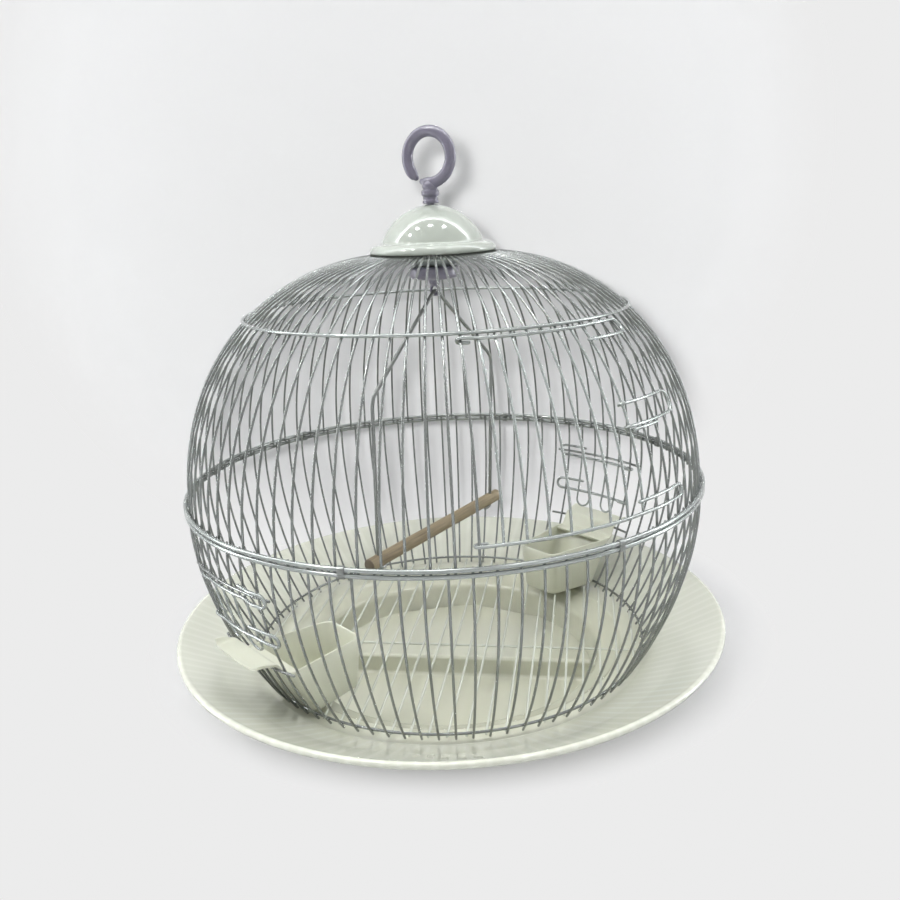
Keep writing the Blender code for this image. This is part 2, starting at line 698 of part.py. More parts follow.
def build_cup(side, label):
    """A feeder cup: a tapered box inside the ribs with a lip that hangs over the sill."""
    before, cut, after = feeder_azimuths(side)
    azimuth = (cut[0] + cut[-1]) / 2
    low = grille_height() + FLOOR_WIRE / 2 + SEAT_GAP
    high = low + CUP_HEIGHT
    reach = {}
    for key, height in (("low", low), ("high", high)):
        inside = line_at(LOWER_LINE, height - SEAM_HEIGHT)[0] - RIB_WIRE / 2 - 2 * SEAT_GAP
        half = CUP_OUTER_WIDTH / 2 * (CUP_FLOOR_SHARE if key == "low" else 1.0)
        reach[key] = math.sqrt(inside ** 2 - half ** 2)
    body = cup_shell(CUP_INNER_END, reach["low"], reach["high"], low, high, CUP_INNER_WIDTH,
                     CUP_OUTER_WIDTH, CUP_FLOOR_SHARE)
    sill = on_ribs(LOWER_LINE, 0.0, -SILL_DEPTH, rest_distance(RIB_WIRE, FRAME_WIRE))
    seat = sill.z + FRAME_WIRE / 2 + SEAT_GAP
    shape = bmesh.new()
    over_sill = seat + CUP_LIP_THICK / 2
    edges = ((reach["high"] - CUP_WALL, high - CUP_LIP_THICK), (sill.x - 2 * FRAME_WIRE, over_sill),
             (sill.x + CUP_LIP_REACH / 2, seat + CUP_LIP_RISE / 2),
             (sill.x + CUP_LIP_REACH, seat + CUP_LIP_RISE))
    rows = [[shape.verts.new((x, side_y * CUP_LIP_WIDTH / 2, z)) for side_y in (-1, 1)] for x, z in edges]
    for first, second in zip(rows, rows[1:]):
        shape.faces.new((first[0], second[0], second[1], first[1]))
    lip = mesh_object("lip", shape)
    wall = lip.modifiers.new("wall", "SOLIDIFY")
    wall.thickness = CUP_LIP_THICK
    wall.offset = 1.0
    body = combined(body, baked(lip))
    hollow = cup_shell(CUP_INNER_END + CUP_WALL, reach["low"] - CUP_WALL, reach["high"] - CUP_WALL,
                       low + CUP_WALL, high + CUP_WALL, CUP_INNER_WIDTH - 2 * CUP_WALL,
                       CUP_OUTER_WIDTH - 2 * CUP_WALL, CUP_FLOOR_SHARE)
    cup = combined(body, hollow, "DIFFERENCE")
    cup.data.transform(Matrix.Rotation(math.radians(azimuth), 4, "Z"))
    finish(cup, f"feeder_cup_{label}", (0.75, 0.75, 0.68), 0.3)


def build_floor_grille():
    """Parallel floor wires that lie on the floor ring, over one cross wire."""
    height = grille_height()
    reach = line_at(LOWER_LINE, height - SEAM_HEIGHT)[0] - RIB_WIRE - SEAT_GAP
    turn = Matrix.Rotation(math.radians(TRAY_TURN), 4, "Z")
    wires = []
    each_side = int((reach - GRILLE_EDGE) / GRILLE_PITCH + 0.5)
    for index in range(2 * each_side):
        across = (index - each_side + 0.5) * GRILLE_PITCH
        half = math.sqrt(reach ** 2 - across ** 2)
        ends = (Vector((across, -half, height)), Vector((across, half, height)))
        wires.append(tube([turn @ end for end in ends], FLOOR_WIRE / 2))
    inner = floor_ring_centre()[0] - rest_distance(FLOOR_RING_WIRE, FLOOR_WIRE)
    half = math.sqrt(inner ** 2 - GRILLE_CROSS_OFFSET ** 2)
    cross_height = height - weld_distance(FLOOR_WIRE, FLOOR_WIRE)
    ends = (Vector((-half, -GRILLE_CROSS_OFFSET, cross_height)),
            Vector((half, -GRILLE_CROSS_OFFSET, cross_height)))
    cross = tube([turn @ end for end in ends], FLOOR_WIRE / 2)
    grille = combined(cross, joined(wires))
    finish(grille, "floor_grille", WIRE_GREY, 0.35, 0.6)


def tray_heights():
    """Heights over the floor of the tray's ledge, of the lip of its well and of its raised floor."""
    ledge = floor_ring_centre()[1] - FLOOR_RING_WIRE / 2 - SEAT_GAP
    lip = ledge - WELL_LIP_DROP
    return ledge, lip, lip * RAISED_SHARE


def tray_radii():
    """Radii of the ledge's outer and inner edge, of the lip of the well and of the well's floor."""
    ring_radius = floor_ring_centre()[0]
    inner = ring_radius - LEDGE_IN
    lip = inner - WELL_LIP_IN
    return ring_radius + LEDGE_OUT, inner, lip, lip - WELL_SLANT


def build_tray():
    """The tray: rim bead, sloping flange, ledge, well, and a floor that is raised at the back."""
    ledge, lip, raised_floor = tray_heights()
    rim = ledge + TRAY_RIM_RISE
    wall = TRAY_WALL
    outer, inner, lip_radius, well = tray_radii()
    top = [(0.0, FLOOR_THICK), (well, FLOOR_THICK), (lip_radius - WELL_LIP_ROUND, lip - WELL_LIP_ROUND),
           (lip_radius, lip), (inner - LEDGE_DROP / 2, ledge - LEDGE_DROP),
           (inner, ledge), (outer, ledge),
           (TRAY_RADIUS - TRAY_BEAD, rim - TRAY_BEAD / 4), (TRAY_RADIUS - TRAY_BEAD * 0.4, rim),
           (TRAY_RADIUS, rim - TRAY_BEAD * 0.4), (TRAY_RADIUS - TRAY_BEAD * 0.25, rim - TRAY_BEAD)]
    under = [(TRAY_RADIUS - TRAY_BEAD * 0.6, rim - TRAY_BEAD),
             (TRAY_RADIUS - TRAY_BEAD, rim - TRAY_BEAD / 4 - wall), (outer + wall / 4, ledge - wall),
             (inner + wall, ledge - wall), (inner + wall / 2, ledge - LEDGE_DROP - wall),
             (lip_radius + wall, lip - wall), (well + wall, 0.0), (0.0, 0.0)]
    tray = turned(top + under, TRAY_FACETS)
    slope = WELL_SLANT / (lip - FLOOR_THICK)
    raised = half_floor(FLOOR_THICK / 2, raised_floor, well + wall / 2, 0.0, slope)
    hollow = half_floor(-FLOOR_THICK, raised_floor - wall, well - wall, wall, slope)
    tray = combined(tray, raised)
    tray = combined(tray, hollow, "DIFFERENCE")
    tray.data.transform(Matrix.Rotation(math.radians(TRAY_TURN), 4, "Z"))
    finish(tray, "base_tray", CREAM, 0.35)


def half_floor(low, high, radius, back, slope):
    """The back part of the well as a solid between two heights, of this radius at its floor."""
    base = radius - slope * FLOOR_THICK
    body = cone(base + slope * low, base + slope * high, low, high, TRAY_FACETS)
    front = RISER_OFFSET + back
    cutter = block((-TRAY_RADIUS, -TRAY_RADIUS, low - TRAY_WALL), (TRAY_RADIUS, front, high + TRAY_WALL))
    return combined(body, cutter, "DIFFERENCE")


def arc_profile(radius, height, steps, start):
    """Points (radius, height) down a spherical cap whose top is at height, from a start radius."""
    sphere = (radius ** 2 + height ** 2) / (2 * height)
    first = math.asin(start / sphere)
    last = math.asin(radius / sphere)
    angles = [first + (last - first) * index / steps for index in range(steps + 1)]
    return [(sphere * math.sin(angle), sphere * (math.cos(angle) - 1)) for angle in angles]


def cap_seat():
    """Height of the cap's underside over the floor."""
    return SEAM_HEIGHT + CROWN_HEIGHT + RIB_WIRE / 2 + SEAT_GAP


def dome_top():
    """Height of the top of the cap's dome over the floor."""
    return cap_seat() + CAP_BEAD + DOME_HEIGHT


def build_cap():
    """The moulded cap: a dome with a rolled bead round its foot and a hole for the stem."""
    seat = cap_seat()
    peak = dome_top()
    hole = STEM_RADIUS + SEAT_GAP
    outside = [(radius, peak + drop) for radius, drop in arc_profile(DOME_RADIUS, DOME_HEIGHT, 5, hole)]
    bead = [(DOME_RADIUS + 0.0030, seat + CAP_BEAD - 0.0004), (CAP_RADIUS - 0.0012, seat + CAP_BEAD * 0.6),
            (CAP_RADIUS, seat + CAP_BEAD * 0.28), (CAP_RADIUS - 0.0008, seat)]
    inner = arc_profile(DOME_RADIUS - CAP_WALL, DOME_HEIGHT - 0.0004, 2, hole)
    inside = [(CAP_RADIUS - 0.0060, seat), (DOME_RADIUS - CAP_WALL, seat + CAP_BEAD * 0.5)]
    inside += [(radius, peak - CAP_WALL + drop) for radius, drop in reversed(inner)]
    cap = turned(outside + bead + inside, 24)
    finish(cap, "cap", (0.60, 0.66, 0.60), 0.15)


def plate_seat():
    """Height of the top of the clamp plate's rim over the floor."""
    return SEAM_HEIGHT + CROWN_HEIGHT - WASHER_THICK / 2 - SEAT_GAP


def build_clamp_plate():
    """The dished plate that the nut pulls up against the crown washer."""
    rim = plate_seat()
    hole = STEM_RADIUS + SEAT_GAP
    dish = WASHER_INNER - SEAT_GAP
    profile = [(hole, rim - PLATE_DISH), (dish * 0.55, rim - PLATE_DISH), (dish, rim), (PLATE_RADIUS, rim),
               (PLATE_RADIUS, rim - PLATE_THICK), (dish + PLATE_THICK / 2, rim - PLATE_THICK),
               (dish * 0.6, rim - PLATE_DISH - PLATE_THICK), (hole, rim - PLATE_DISH - PLATE_THICK)]
    finish(turned(profile, 20), "clamp_plate", WIRE_GREY, 0.35, 0.5)


def nut_top():
    """Height of the nut's top face over the floor."""
    return plate_seat() - PLATE_DISH - PLATE_THICK - SEAT_GAP


def eye_centre():
    """Height of the middle of the swing's eye over the floor."""
    return nut_top() - NUT_HEIGHT - NUT_NECK_LENGTH - EYE_RADIUS


def build_nut():
    """The nut on the stem's lower end, with the eye that carries the swing."""
    top = nut_top()
    low = top - NUT_HEIGHT
    bore = STEM_RADIUS + SEAT_GAP
    round_edge = NUT_HEIGHT * 0.2
    profile = [(0.0, top - NUT_BORE_DEPTH), (bore, top - NUT_BORE_DEPTH), (bore, top),
               (NUT_RADIUS - round_edge, top), (NUT_RADIUS, top - round_edge),
               (NUT_RADIUS, low + round_edge * 1.5),
               (NUT_RADIUS - round_edge * 1.5, low), (NUT_NECK + 0.001, low), (NUT_NECK, low - 0.001),
               (NUT_NECK, low - NUT_NECK_LENGTH), (0.0, low - NUT_NECK_LENGTH)]
    body = turned(profile, 14)
    middle = Vector((0.0, 0.0, eye_centre()))
    flat = Vector((-math.sin(math.radians(SWING_TURN)), math.cos(math.radians(SWING_TURN)), 0.0))
    places = []
    for index in range(10):
        turn = math.tau * (index + 0.5) / 10
        places.append(middle + EYE_RADIUS * (math.cos(turn) * flat + math.sin(turn) * Vector((0, 0, 1))))
    nut = combined(body, tube(places, EYE_WIRE / 2, 0, closed=True))
    finish(nut, "swing_nut", LAVENDER, 0.3)


def build_hanging_ring():
    """The open hanging ring on its collared stem, which runs down to the nut."""
    foot = dome_top() + SEAT_GAP
    centre = foot + RING_ABOVE_DOME + RING_RADIUS
    end = nut_top() - NUT_BORE_DEPTH + SEAT_GAP
    neck = COLLAR_RADIUS * 0.8
    profile = [(0.0, foot + 0.0148), (0.0036, foot + 0.0140), (0.0053, foot + 0.0118), (neck, foot + 0.0092),
               (COLLAR_RADIUS, foot + 0.0080), (COLLAR_RADIUS, foot + 0.0052), (neck, foot + 0.0040),
               (neck, foot + 0.0028), (COLLAR_RADIUS * 0.9, foot + 0.0016), (COLLAR_RADIUS * 0.9, foot),
               (STEM_RADIUS, foot), (STEM_RADIUS, end), (0.0, end)]
    stem = turned(profile, 12)
    across = Vector((math.cos(math.radians(RING_TURN)), math.sin(math.radians(RING_TURN)), 0.0))
    middle = Vector((0.0, 0.0, centre))
    places = []
    for index in range(RING_STEPS + 1):
        turn = math.radians(RING_START + RING_SWEEP * index / RING_STEPS)
        places.append(middle + RING_RADIUS * (math.cos(turn) * across + math.sin(turn) * Vector((0, 0, 1))))
    taper = [RING_END] + [1.0] * (RING_STEPS - 1) + [RING_END]
    ring_tube = tube(places, RING_TUBE, 1, taper=taper)
    hanger = combined(stem, ring_tube)
    finish(hanger, "hanging_ring", LAVENDER, 0.25)


def swing_pivot():
    """The point where the swing's wire rests in the eye."""
    return Vector((0.0, 0.0, eye_centre() - (EYE_RADIUS - EYE_WIRE / 2 - SWING_WIRE / 2 - SEAT_GAP)))


def swing_line():
    """Points (across, height) of the swing's wire from the pivot to the end of its foot."""
    slope = math.atan2(SWING_SHOULDER_DROP, SWING_HALF)
    bend = SWING_TOP_BEND
    corner = -SWING_SHOULDER_DROP
    under_perch = -PERCH_DROP - PERCH_RADIUS - SEAT_GAP
    foot = under_perch - SWING_WIRE * 0.7
    return [(0.0, 0.0), (bend * 0.6, -bend * 0.12), (bend * 1.3, -bend * 0.62),
            (SWING_HALF - SWING_FILLET * math.cos(slope), corner + SWING_FILLET * math.sin(slope)),
            (SWING_HALF - SWING_FILLET * 0.22, corner - SWING_FILLET * 0.12),
            (SWING_HALF, corner - SWING_FILLET), (SWING_HALF, under_perch),
            (SWING_HALF - SWING_WIRE * 0.2, foot + SWING_WIRE * 0.2),
            (SWING_HALF - SWING_WIRE * 0.8, foot), (SWING_HALF - SWING_FOOT, foot)]


def build_swing():
    """The bent swing wire and the dowel that it carries, both built round the pivot."""
    half = swing_line()
    path = [(-across, height) for across, height in reversed(half[1:])] + half
    wire = tube([(across, 0.0, height) for across, height in path], SWING_WIRE / 2, 1)
    dowel = cone(PERCH_RADIUS, PERCH_RADIUS, -PERCH_LENGTH / 2, PERCH_LENGTH / 2, PERCH_SIDES)
    laid = Matrix.Translation((0.0, 0.0, -PERCH_DROP)) @ Matrix.Rotation(math.radians(90.0), 4, "Y")
    dowel.data.transform(laid)
    bore = SWING_WIRE / 2 + SEAT_GAP
    for side in (-1, 1):
        hole = cone(bore, bore, -PERCH_DROP - 2 * PERCH_RADIUS, -PERCH_DROP + 2 * PERCH_RADIUS, 8)
        hole.location = (side * SWING_HALF, 0.0, 0.0)
        bpy.context.view_layer.update()
        dowel = combined(dowel, hole, "DIFFERENCE")
    finish(wire, "swing_wire", WIRE_GREY, 0.3, 0.7)
    finish(dowel, "perch", (0.30, 0.22, 0.14), 0.6)
    turn = Matrix.Rotation(math.radians(SWING_TURN), 4, "Z")
    tilt = Matrix.Rotation(math.radians(SWING_TILT), 4, "X")
    lean = Matrix.Rotation(-math.radians(SWING_LEAN), 4, "Y")
    for thing in (wire, dowel):
        thing.data.transform(turn @ tilt @ lean)
        thing.location = swing_pivot()


build_tray()
build_lower_ribs()
build_upper_ribs()
build_rim_rings()
build_clips()
build_main_door()
build_latch()
for side, label in ((0, "front"), (1, "back")):
    build_feeder_frame(side, label)
    build_feeder_door(side, label)
    build_cup(side, label)
build_floor_grille()
build_cap()
build_clamp_plate()
build_nut()
build_hanging_ring()
build_swing()
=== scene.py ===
import math

import bpy
import numpy as np
from mathutils import Matrix


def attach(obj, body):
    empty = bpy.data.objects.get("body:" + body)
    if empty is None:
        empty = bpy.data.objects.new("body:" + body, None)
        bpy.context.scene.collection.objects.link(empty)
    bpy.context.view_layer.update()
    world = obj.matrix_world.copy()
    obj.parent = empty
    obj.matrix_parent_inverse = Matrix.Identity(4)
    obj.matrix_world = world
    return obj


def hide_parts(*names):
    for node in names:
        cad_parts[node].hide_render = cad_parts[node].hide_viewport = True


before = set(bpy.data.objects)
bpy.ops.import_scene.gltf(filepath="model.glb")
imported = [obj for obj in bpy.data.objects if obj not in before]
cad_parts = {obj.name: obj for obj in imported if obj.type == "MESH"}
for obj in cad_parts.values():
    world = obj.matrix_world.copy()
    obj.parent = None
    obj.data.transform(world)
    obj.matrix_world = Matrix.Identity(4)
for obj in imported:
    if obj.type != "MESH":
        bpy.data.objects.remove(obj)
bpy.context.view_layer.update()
bpy.context.scene.view_settings.view_transform = "Standard"

# Camera. The photograph was taken from close by, from a little above the seam of the cage, with a
# slight lean to the left.
eye = np.array((0.0, -0.60471, 0.34887))
pitch, roll, yaw = 0.2694, -0.0459, 0.0084
ahead = np.array((math.sin(yaw) * math.cos(pitch), math.cos(yaw) * math.cos(pitch), -math.sin(pitch)))
level = np.cross(ahead, (0.0, 0.0, 1.0))
level /= np.linalg.norm(level)
above = np.cross(level, ahead)
across = level * math.cos(roll) + above * math.sin(roll)
upright = above * math.cos(roll) - level * math.sin(roll)
camera_data = bpy.data.cameras.new("camera")
camera_data.lens = 36.13
camera_data.sensor_width = 36.0
camera = bpy.data.objects.new("camera", camera_data)
camera.matrix_world = Matrix([(*row, place) for row, place in zip(np.array((across, upright, -ahead)).T, eye)]
                             + [(0.0, 0.0, 0.0, 1.0)])
bpy.context.scene.collection.objects.link(camera)
bpy.context.scene.camera = camera

# Light. A pale room lit from overhead, with small lamps that show as little windows in the glossy cap.
# The camera, and whatever mirrors the room, see the plain grey of the backdrop.
paper_grey = (0.838, 0.838, 0.838, 1.0)


def feed(tree, made, given):
    """Gives a node's sockets plain values, and joins other nodes' outputs to them."""
    for name, value in given.items():
        if isinstance(value, bpy.types.NodeSocket):
            tree.links.new(value, made.inputs[name])
        else:
            made.inputs[name].default_value = value


def node(tree, kind, *values, **settings):
    """A shader node of a kind: values for its first sockets in order, then settings, which are its own
    properties or, where they start with a capital, its sockets."""
    made = tree.nodes.new("ShaderNode" + kind)
    given = dict(enumerate(values))
    for name, value in settings.items():
        if name[0].isupper():
            given[name.replace("_", " ")] = value
        else:
            setattr(made, name, value)
    feed(tree, made, given)
    return made


def maths(tree, operation, *values):
    """The output of a maths node over numbers and other nodes' outputs."""
    return node(tree, "Math", *values, operation=operation).outputs[0]


def ramp(tree, share, *stops):
    """The colour at a share between two stops, each a position and a colour."""
    made = node(tree, "ValToRGB", share)
    for element, (position, colour) in zip(made.color_ramp.elements, stops):
        element.position = position
        element.color = (*colour, 1.0)
    return made.outputs["Color"]


world = bpy.data.worlds.new("room")
world.use_nodes = True
bpy.context.scene.world = world
tree = world.node_tree
tree.nodes.clear()
up = node(tree, "SeparateXYZ", node(tree, "TexCoord").outputs["Generated"]).outputs["Z"]
height_share = maths(tree, "MULTIPLY_ADD", up, 0.5, 0.5)
rise = ramp(tree, height_share, (0.42, (0.10, 0.10, 0.10)), (0.92, (0.92, 0.94, 0.97)))
felt = node(tree, "Background", rise, 0.8)
seen = node(tree, "Background", paper_grey)
ray = node(tree, "LightPath").outputs
mirrored = maths(tree, "MAXIMUM", ray["Is Camera Ray"], ray["Is Glossy Ray"])
shown = maths(tree, "MAXIMUM", mirrored, ray["Is Transmission Ray"])
room = node(tree, "MixShader", shown, felt.outputs[0], seen.outputs[0])
node(tree, "OutputWorld", room.outputs[0])

backdrop_only = bpy.data.collections.new("lit_backdrop")
all_but_backdrop = bpy.data.collections.new("lit_object")
all_but_cap = bpy.data.collections.new("lit_softly")


def lamp(name, spot, target, size, power, lit):
    """A rectangular area lamp at a spot, facing the target and lighting what a collection says."""
    data = bpy.data.lights.new(name, "AREA")
    data.shape = "RECTANGLE"
    data.size, data.size_y = size
    data.energy = power
    thing = bpy.data.objects.new(name, data)
    back = np.array(spot, float) - np.array(target, float)
    back /= np.linalg.norm(back)
    side = np.cross((0.0, 0.0, 1.0), back)
    side = side / np.linalg.norm(side)
    top = np.cross(back, side)
    thing.matrix_world = Matrix([(*row, at) for row, at in zip(np.array((side, top, back)).T, spot)]
                                + [(0.0, 0.0, 0.0, 1.0)])
    thing.light_linking.receiver_collection = lit
    bpy.context.scene.collection.objects.link(thing)


cage_middle = (0.0, 0.0, 0.15)
lamp("key", (-0.35, 0.05, 1.65), cage_middle, (1.3, 1.0), 7.5, all_but_cap)
lamp("streaks", (-0.95, -0.35, 1.45), (0.0, 0.0, 0.05), (0.05, 0.05), 7.0, all_but_backdrop)
lamp("fill", (0.9, -1.4, 0.9), cage_middle, (0.9, 0.9), 1.5, all_but_backdrop)
for column in range(3):
    for row in range(2):
        lamp(f"ceiling_{column}_{row}", (-0.55 + 0.5 * column, -0.25 + 0.75 * row, 1.55), (0.0, 0.0, 0.2),
             (0.16, 0.10), 1.5, all_but_backdrop)


# Backdrop. An upright sheet close behind the cage, lit by one small lamp beside the camera, so that the
# cage's shadow shows through its wires and a little to their right. It is seen from its front only.
def surfaced(name):
    """A new material, with its node tree and its main shader."""
    material = bpy.data.materials.new(name)
    material.use_nodes = True
    return material, material.node_tree, material.node_tree.nodes["Principled BSDF"]


def distance(tree, middle):
    """The distance of each place on a piece from a middle."""
    where = node(tree, "TexCoord").outputs["Object"]
    return node(tree, "VectorMath", where, middle, operation="DISTANCE").outputs["Value"]


def running_out(tree, lit, away, start, end, least):
    """A paper's lit shader, easing into flat grey between two distances, from a least share of grey."""
    edge = node(tree, "MapRange", away, From_Min=start, From_Max=end, To_Min=least,
                interpolation_type="SMOOTHSTEP")
    share = maths(tree, "MULTIPLY", edge.outputs["Result"], node(tree, "LightPath").outputs["Is Camera Ray"])
    return node(tree, "MixShader", share, lit, node(tree, "Emission", paper_grey).outputs[0]).outputs[0]


def sheet(name, corners, material):
    """A flat sheet of paper between four corners, kept off the object's own table."""
    mesh = bpy.data.meshes.new(name)
    mesh.from_pydata(corners, [], [(0, 1, 2, 3)])
    mesh.materials.append(material)
    thing = bpy.data.objects.new(name, mesh)
    bpy.context.scene.collection.objects.link(thing)
    return thing


lens_spot = eye + np.array((-0.026, 0.0, 0.024))
wall_y = 0.31
wall_reach = 4.0
lamp_foot = (lens_spot[0], wall_y, lens_spot[2])
paper, tree, shader = surfaced("backdrop_paper")
tree.nodes.remove(shader)
away = distance(tree, lamp_foot)
ratio = maths(tree, "DIVIDE", away, wall_y - lens_spot[1])
dimming = maths(tree, "POWER", maths(tree, "MULTIPLY_ADD", ratio, ratio, 1.0), 1.5)
matt = node(tree, "BsdfDiffuse", maths(tree, "MULTIPLY", dimming, 0.505))
front = running_out(tree, matt.outputs[0], away, 0.30, 0.42, 0.0)
one_side = node(tree, "MixShader", node(tree, "NewGeometry").outputs["Backfacing"], front,
                node(tree, "BsdfTransparent").outputs[0])
tree.links.new(one_side.outputs[0], tree.nodes["Material Output"].inputs["Surface"])
backdrop = sheet("backdrop", [(-wall_reach, wall_y, 0.0), (wall_reach, wall_y, 0.0),
                              (wall_reach, wall_y, wall_reach), (-wall_reach, wall_y, wall_reach)], paper)
backdrop_only.objects.link(backdrop)
all_but_backdrop.objects.link(backdrop)
all_but_backdrop.collection_objects[0].light_linking.link_state = "EXCLUDE"
all_but_cap.objects.link(backdrop)
lamp("beside_lens", lens_spot, lamp_foot, (0.035, 0.035), 8.0, backdrop_only)

# Floor. A pale matt sheet that runs out into the same flat grey, a little beyond the tray's shadow.
floor_reach = 6.0
paper, tree, shader = surfaced("floor_paper")
feed(tree, shader, {"Base Color": (0.58, 0.58, 0.58, 1.0), "Roughness": 0.9, "Specular IOR Level": 0.0})
front = running_out(tree, shader.outputs[0], distance(tree, (0.008, 0.1256, 0.0)), 0.218, 0.264, 0.30)
tree.links.new(front, tree.nodes["Material Output"].inputs["Surface"])
sheet("floor", [(-floor_reach, -floor_reach, 0.0), (floor_reach, -floor_reach, 0.0),
                (floor_reach, wall_y, 0.0), (-floor_reach, wall_y, 0.0)], paper)


# Tray. One moulded piece of ivory plastic: a wide sloping flange with a rolled rim, a flat ledge for
# the cage, and a well whose floor steps up towards the back.
def piece(name, shapes, material, body, slot, *nodes):
    """A smooth mesh from shapes of points and faces, riding on its body for the CAD nodes it replaces."""
    points = []
    faces = []
    for shape_points, shape_faces in shapes:
        start = sum(len(part) for part in points)
        points.append(np.asarray(shape_points, float).reshape(-1, 3))
        faces += [tuple(start + corner for corner in face) for face in shape_faces]
    mesh = bpy.data.meshes.new(name)
    mesh.from_pydata(np.concatenate(points).tolist(), [], faces)
    mesh.polygons.foreach_set("use_smooth", np.ones(len(faces), bool))
    mesh.set_sharp_from_angle(angle=math.radians(50.0))
    mesh.materials.append(material)
    thing = bpy.data.objects.new(name, mesh)
    bpy.context.scene.collection.objects.link(thing)
    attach(thing, body)
    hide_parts(*nodes)
    return thing


def lengths(path):
    """The length along a path up to each of its points."""
    return np.concatenate(([0.0], np.cumsum(np.linalg.norm(np.diff(path, axis=0), axis=1))))


def at_lengths(path, at):
    """The points of a path at given lengths along it."""
    along = lengths(path)
    return np.stack([np.interp(at, along, path[:, axis]) for axis in range(path.shape[1])], 1)


def eased(path, step, rounds=2, closed=False):
    """The path at equal steps of its length, each point then averaged with its neighbours some rounds."""
    path = np.asarray(path, float)
    if closed:
        path = np.vstack((path, path[:1]))
    total = lengths(path)[-1]
    out = at_lengths(path, np.linspace(0.0, total, max(3, int(round(total / step)) + 1)))
    if closed:
        out = out[:-1]
        for _ in range(rounds):
            out = (np.roll(out, 1, 0) + 2 * out + np.roll(out, -1, 0)) / 4
    else:
        for _ in range(rounds):
            out[1:-1] = (out[:-2] + 2 * out[1:-1] + out[2:]) / 4
    return out


def grid_faces(rows, columns, shut_rows=False, shut_columns=False):
    """Four-cornered faces over a grid: each point, the next in its row, and those two in the next row."""
    row = np.arange(rows if shut_rows else rows - 1)[:, None]
    column = np.arange(columns if shut_columns else columns - 1)
    after, right = (row + 1) % rows * columns, (column + 1) % columns
    row = row * columns
    return np.stack((row + column, row + right, after + right, after + column), -1).reshape(-1, 4)


def flipped(faces):
    """The faces turned to look the other way, each from the same corner."""
    return np.roll(faces[:, ::-1], 1, 1)


def fan(pole, first, count):
    """Triangles from a pole to each side of a ring of points."""
    column = np.arange(count)
    return np.stack((np.full(count, pole), first + column, first + (column + 1) % count), 1)


def turned(profile, segments, closed=False):
    """A surface turned about the upright axis from (radius, height) points that run down its outer side."""
    profile = np.asarray(profile, float)
    angle = np.arange(segments) * math.tau / segments
    top = not closed and profile[0, 0] < 1e-6
    bottom = not closed and profile[-1, 0] < 1e-6
    rows = profile[int(top):len(profile) - int(bottom)]
    points = np.stack((rows[:, :1] * np.cos(angle), rows[:, :1] * np.sin(angle),
                       np.repeat(rows[:, 1:], segments, 1)), -1).reshape(-1, 3)
    faces = flipped(grid_faces(len(rows), segments, closed, True)).tolist()
    if top:
        faces += fan(len(points), 0, segments).tolist()
        points = np.vstack((points, (0.0, 0.0, profile[0, 1])))
    if bottom:
        faces += flipped(fan(len(points), (len(rows) - 1) * segments, segments)).tolist()
        points = np.vstack((points, (0.0, 0.0, profile[-1, 1])))
    return points, faces


def slab(top, under):
    """A closed slab between two grids of points, one over the other, with a wall round their edges."""
    count, columns = top.shape[:2]
    offset = count * columns
    grid = grid_faces(count, columns)
    side = np.arange(count - 1) * columns
    end = np.arange(columns - 1)
    wall = np.stack((side, side + columns, offset + side + columns, offset + side), 1)
    front = np.stack((end + 1, end, offset + end, offset + end + 1), 1)
    faces = np.concatenate((grid, flipped(grid) + offset, wall, wall[:, ::-1] + columns - 1,
                            front, front[:, ::-1] + (count - 1) * columns))
    return np.concatenate((top.reshape(-1, 3), under.reshape(-1, 3))), faces


def about_upright(angle):
    """The turn of points about the upright axis, as a matrix."""
    return np.array(((math.cos(angle), -math.sin(angle), 0.0), (math.sin(angle), math.cos(angle), 0.0),
                     (0.0, 0.0, 1.0)))


def plastic(name, colour, roughness, coat, grain, depth, coat_rub=0.08):
    """Moulded plastic: faint mottling, a slight waviness in the gloss and a fine surface grain."""
    material, tree, shader = surfaced(name)
    where = node(tree, "TexCoord").outputs["Object"]
    cloud = node(tree, "TexNoise", Vector=where, Scale=22.0, Detail=5.0).outputs["Fac"]
    fine = node(tree, "TexNoise", Vector=where, Scale=grain, Detail=3.0).outputs["Fac"]
    tint = node(tree, "Mix", data_type="RGBA", Factor=cloud, A=(*[value * 0.94 for value in colour], 1.0),
                B=(*[min(1.0, value * 1.05) for value in colour], 1.0))
    rub = node(tree, "MapRange", cloud, To_Min=roughness * 0.8, To_Max=roughness * 1.3)
    dent = node(tree, "Bump", Strength=0.35, Distance=depth, Height=fine)
    feed(tree, shader, {"Coat Weight": coat, "Coat Roughness": coat_rub, "Base Color": tint.outputs["Result"],
                        "Roughness": rub.outputs["Result"], "Normal": dent.outputs["Normal"]})
    return material


tray_turn = math.radians(-9.5)
ledge = 0.0407
rim = 0.0645
wall = 0.0018
well_foot = 0.0965
well_slope = (0.1075 - well_foot) / (0.0338 - 0.0030)
section = [(well_foot - well_slope * 0.003, 0.0), (well_foot, 0.0030), (0.1060, 0.0318), (0.1075, 0.0338),
           (0.1205, ledge - 0.0020), (0.1222, ledge - 0.0002), (0.1228, ledge), (0.1388, ledge),
           (0.1650, 0.0522), (0.1868, 0.0628), (0.1885, 0.0636), (0.1897, rim - 0.0001), (0.1912, rim),
           (0.1923, 0.0637), (0.1927, 0.0622), (0.1921, 0.0606), (0.1908, 0.0599), (0.1893, 0.0604),
           (0.1865, 0.0606), (0.1650, 0.0502), (0.1393, ledge - wall), (0.1240, ledge - wall),
           (0.1228, ledge - 0.0022 - wall), (0.1095, 0.0338 - wall), (0.1082, 0.0318 - wall), (0.0986, 0.0)]
ring_section = eased(section, 0.0008, 2, closed=True)
shell = turned(ring_section[::-1], 220, closed=True)


def well_radius(height):
    """Radius of the well's wall at a height: a straight cone."""
    return well_foot + well_slope * (height - 0.0030)


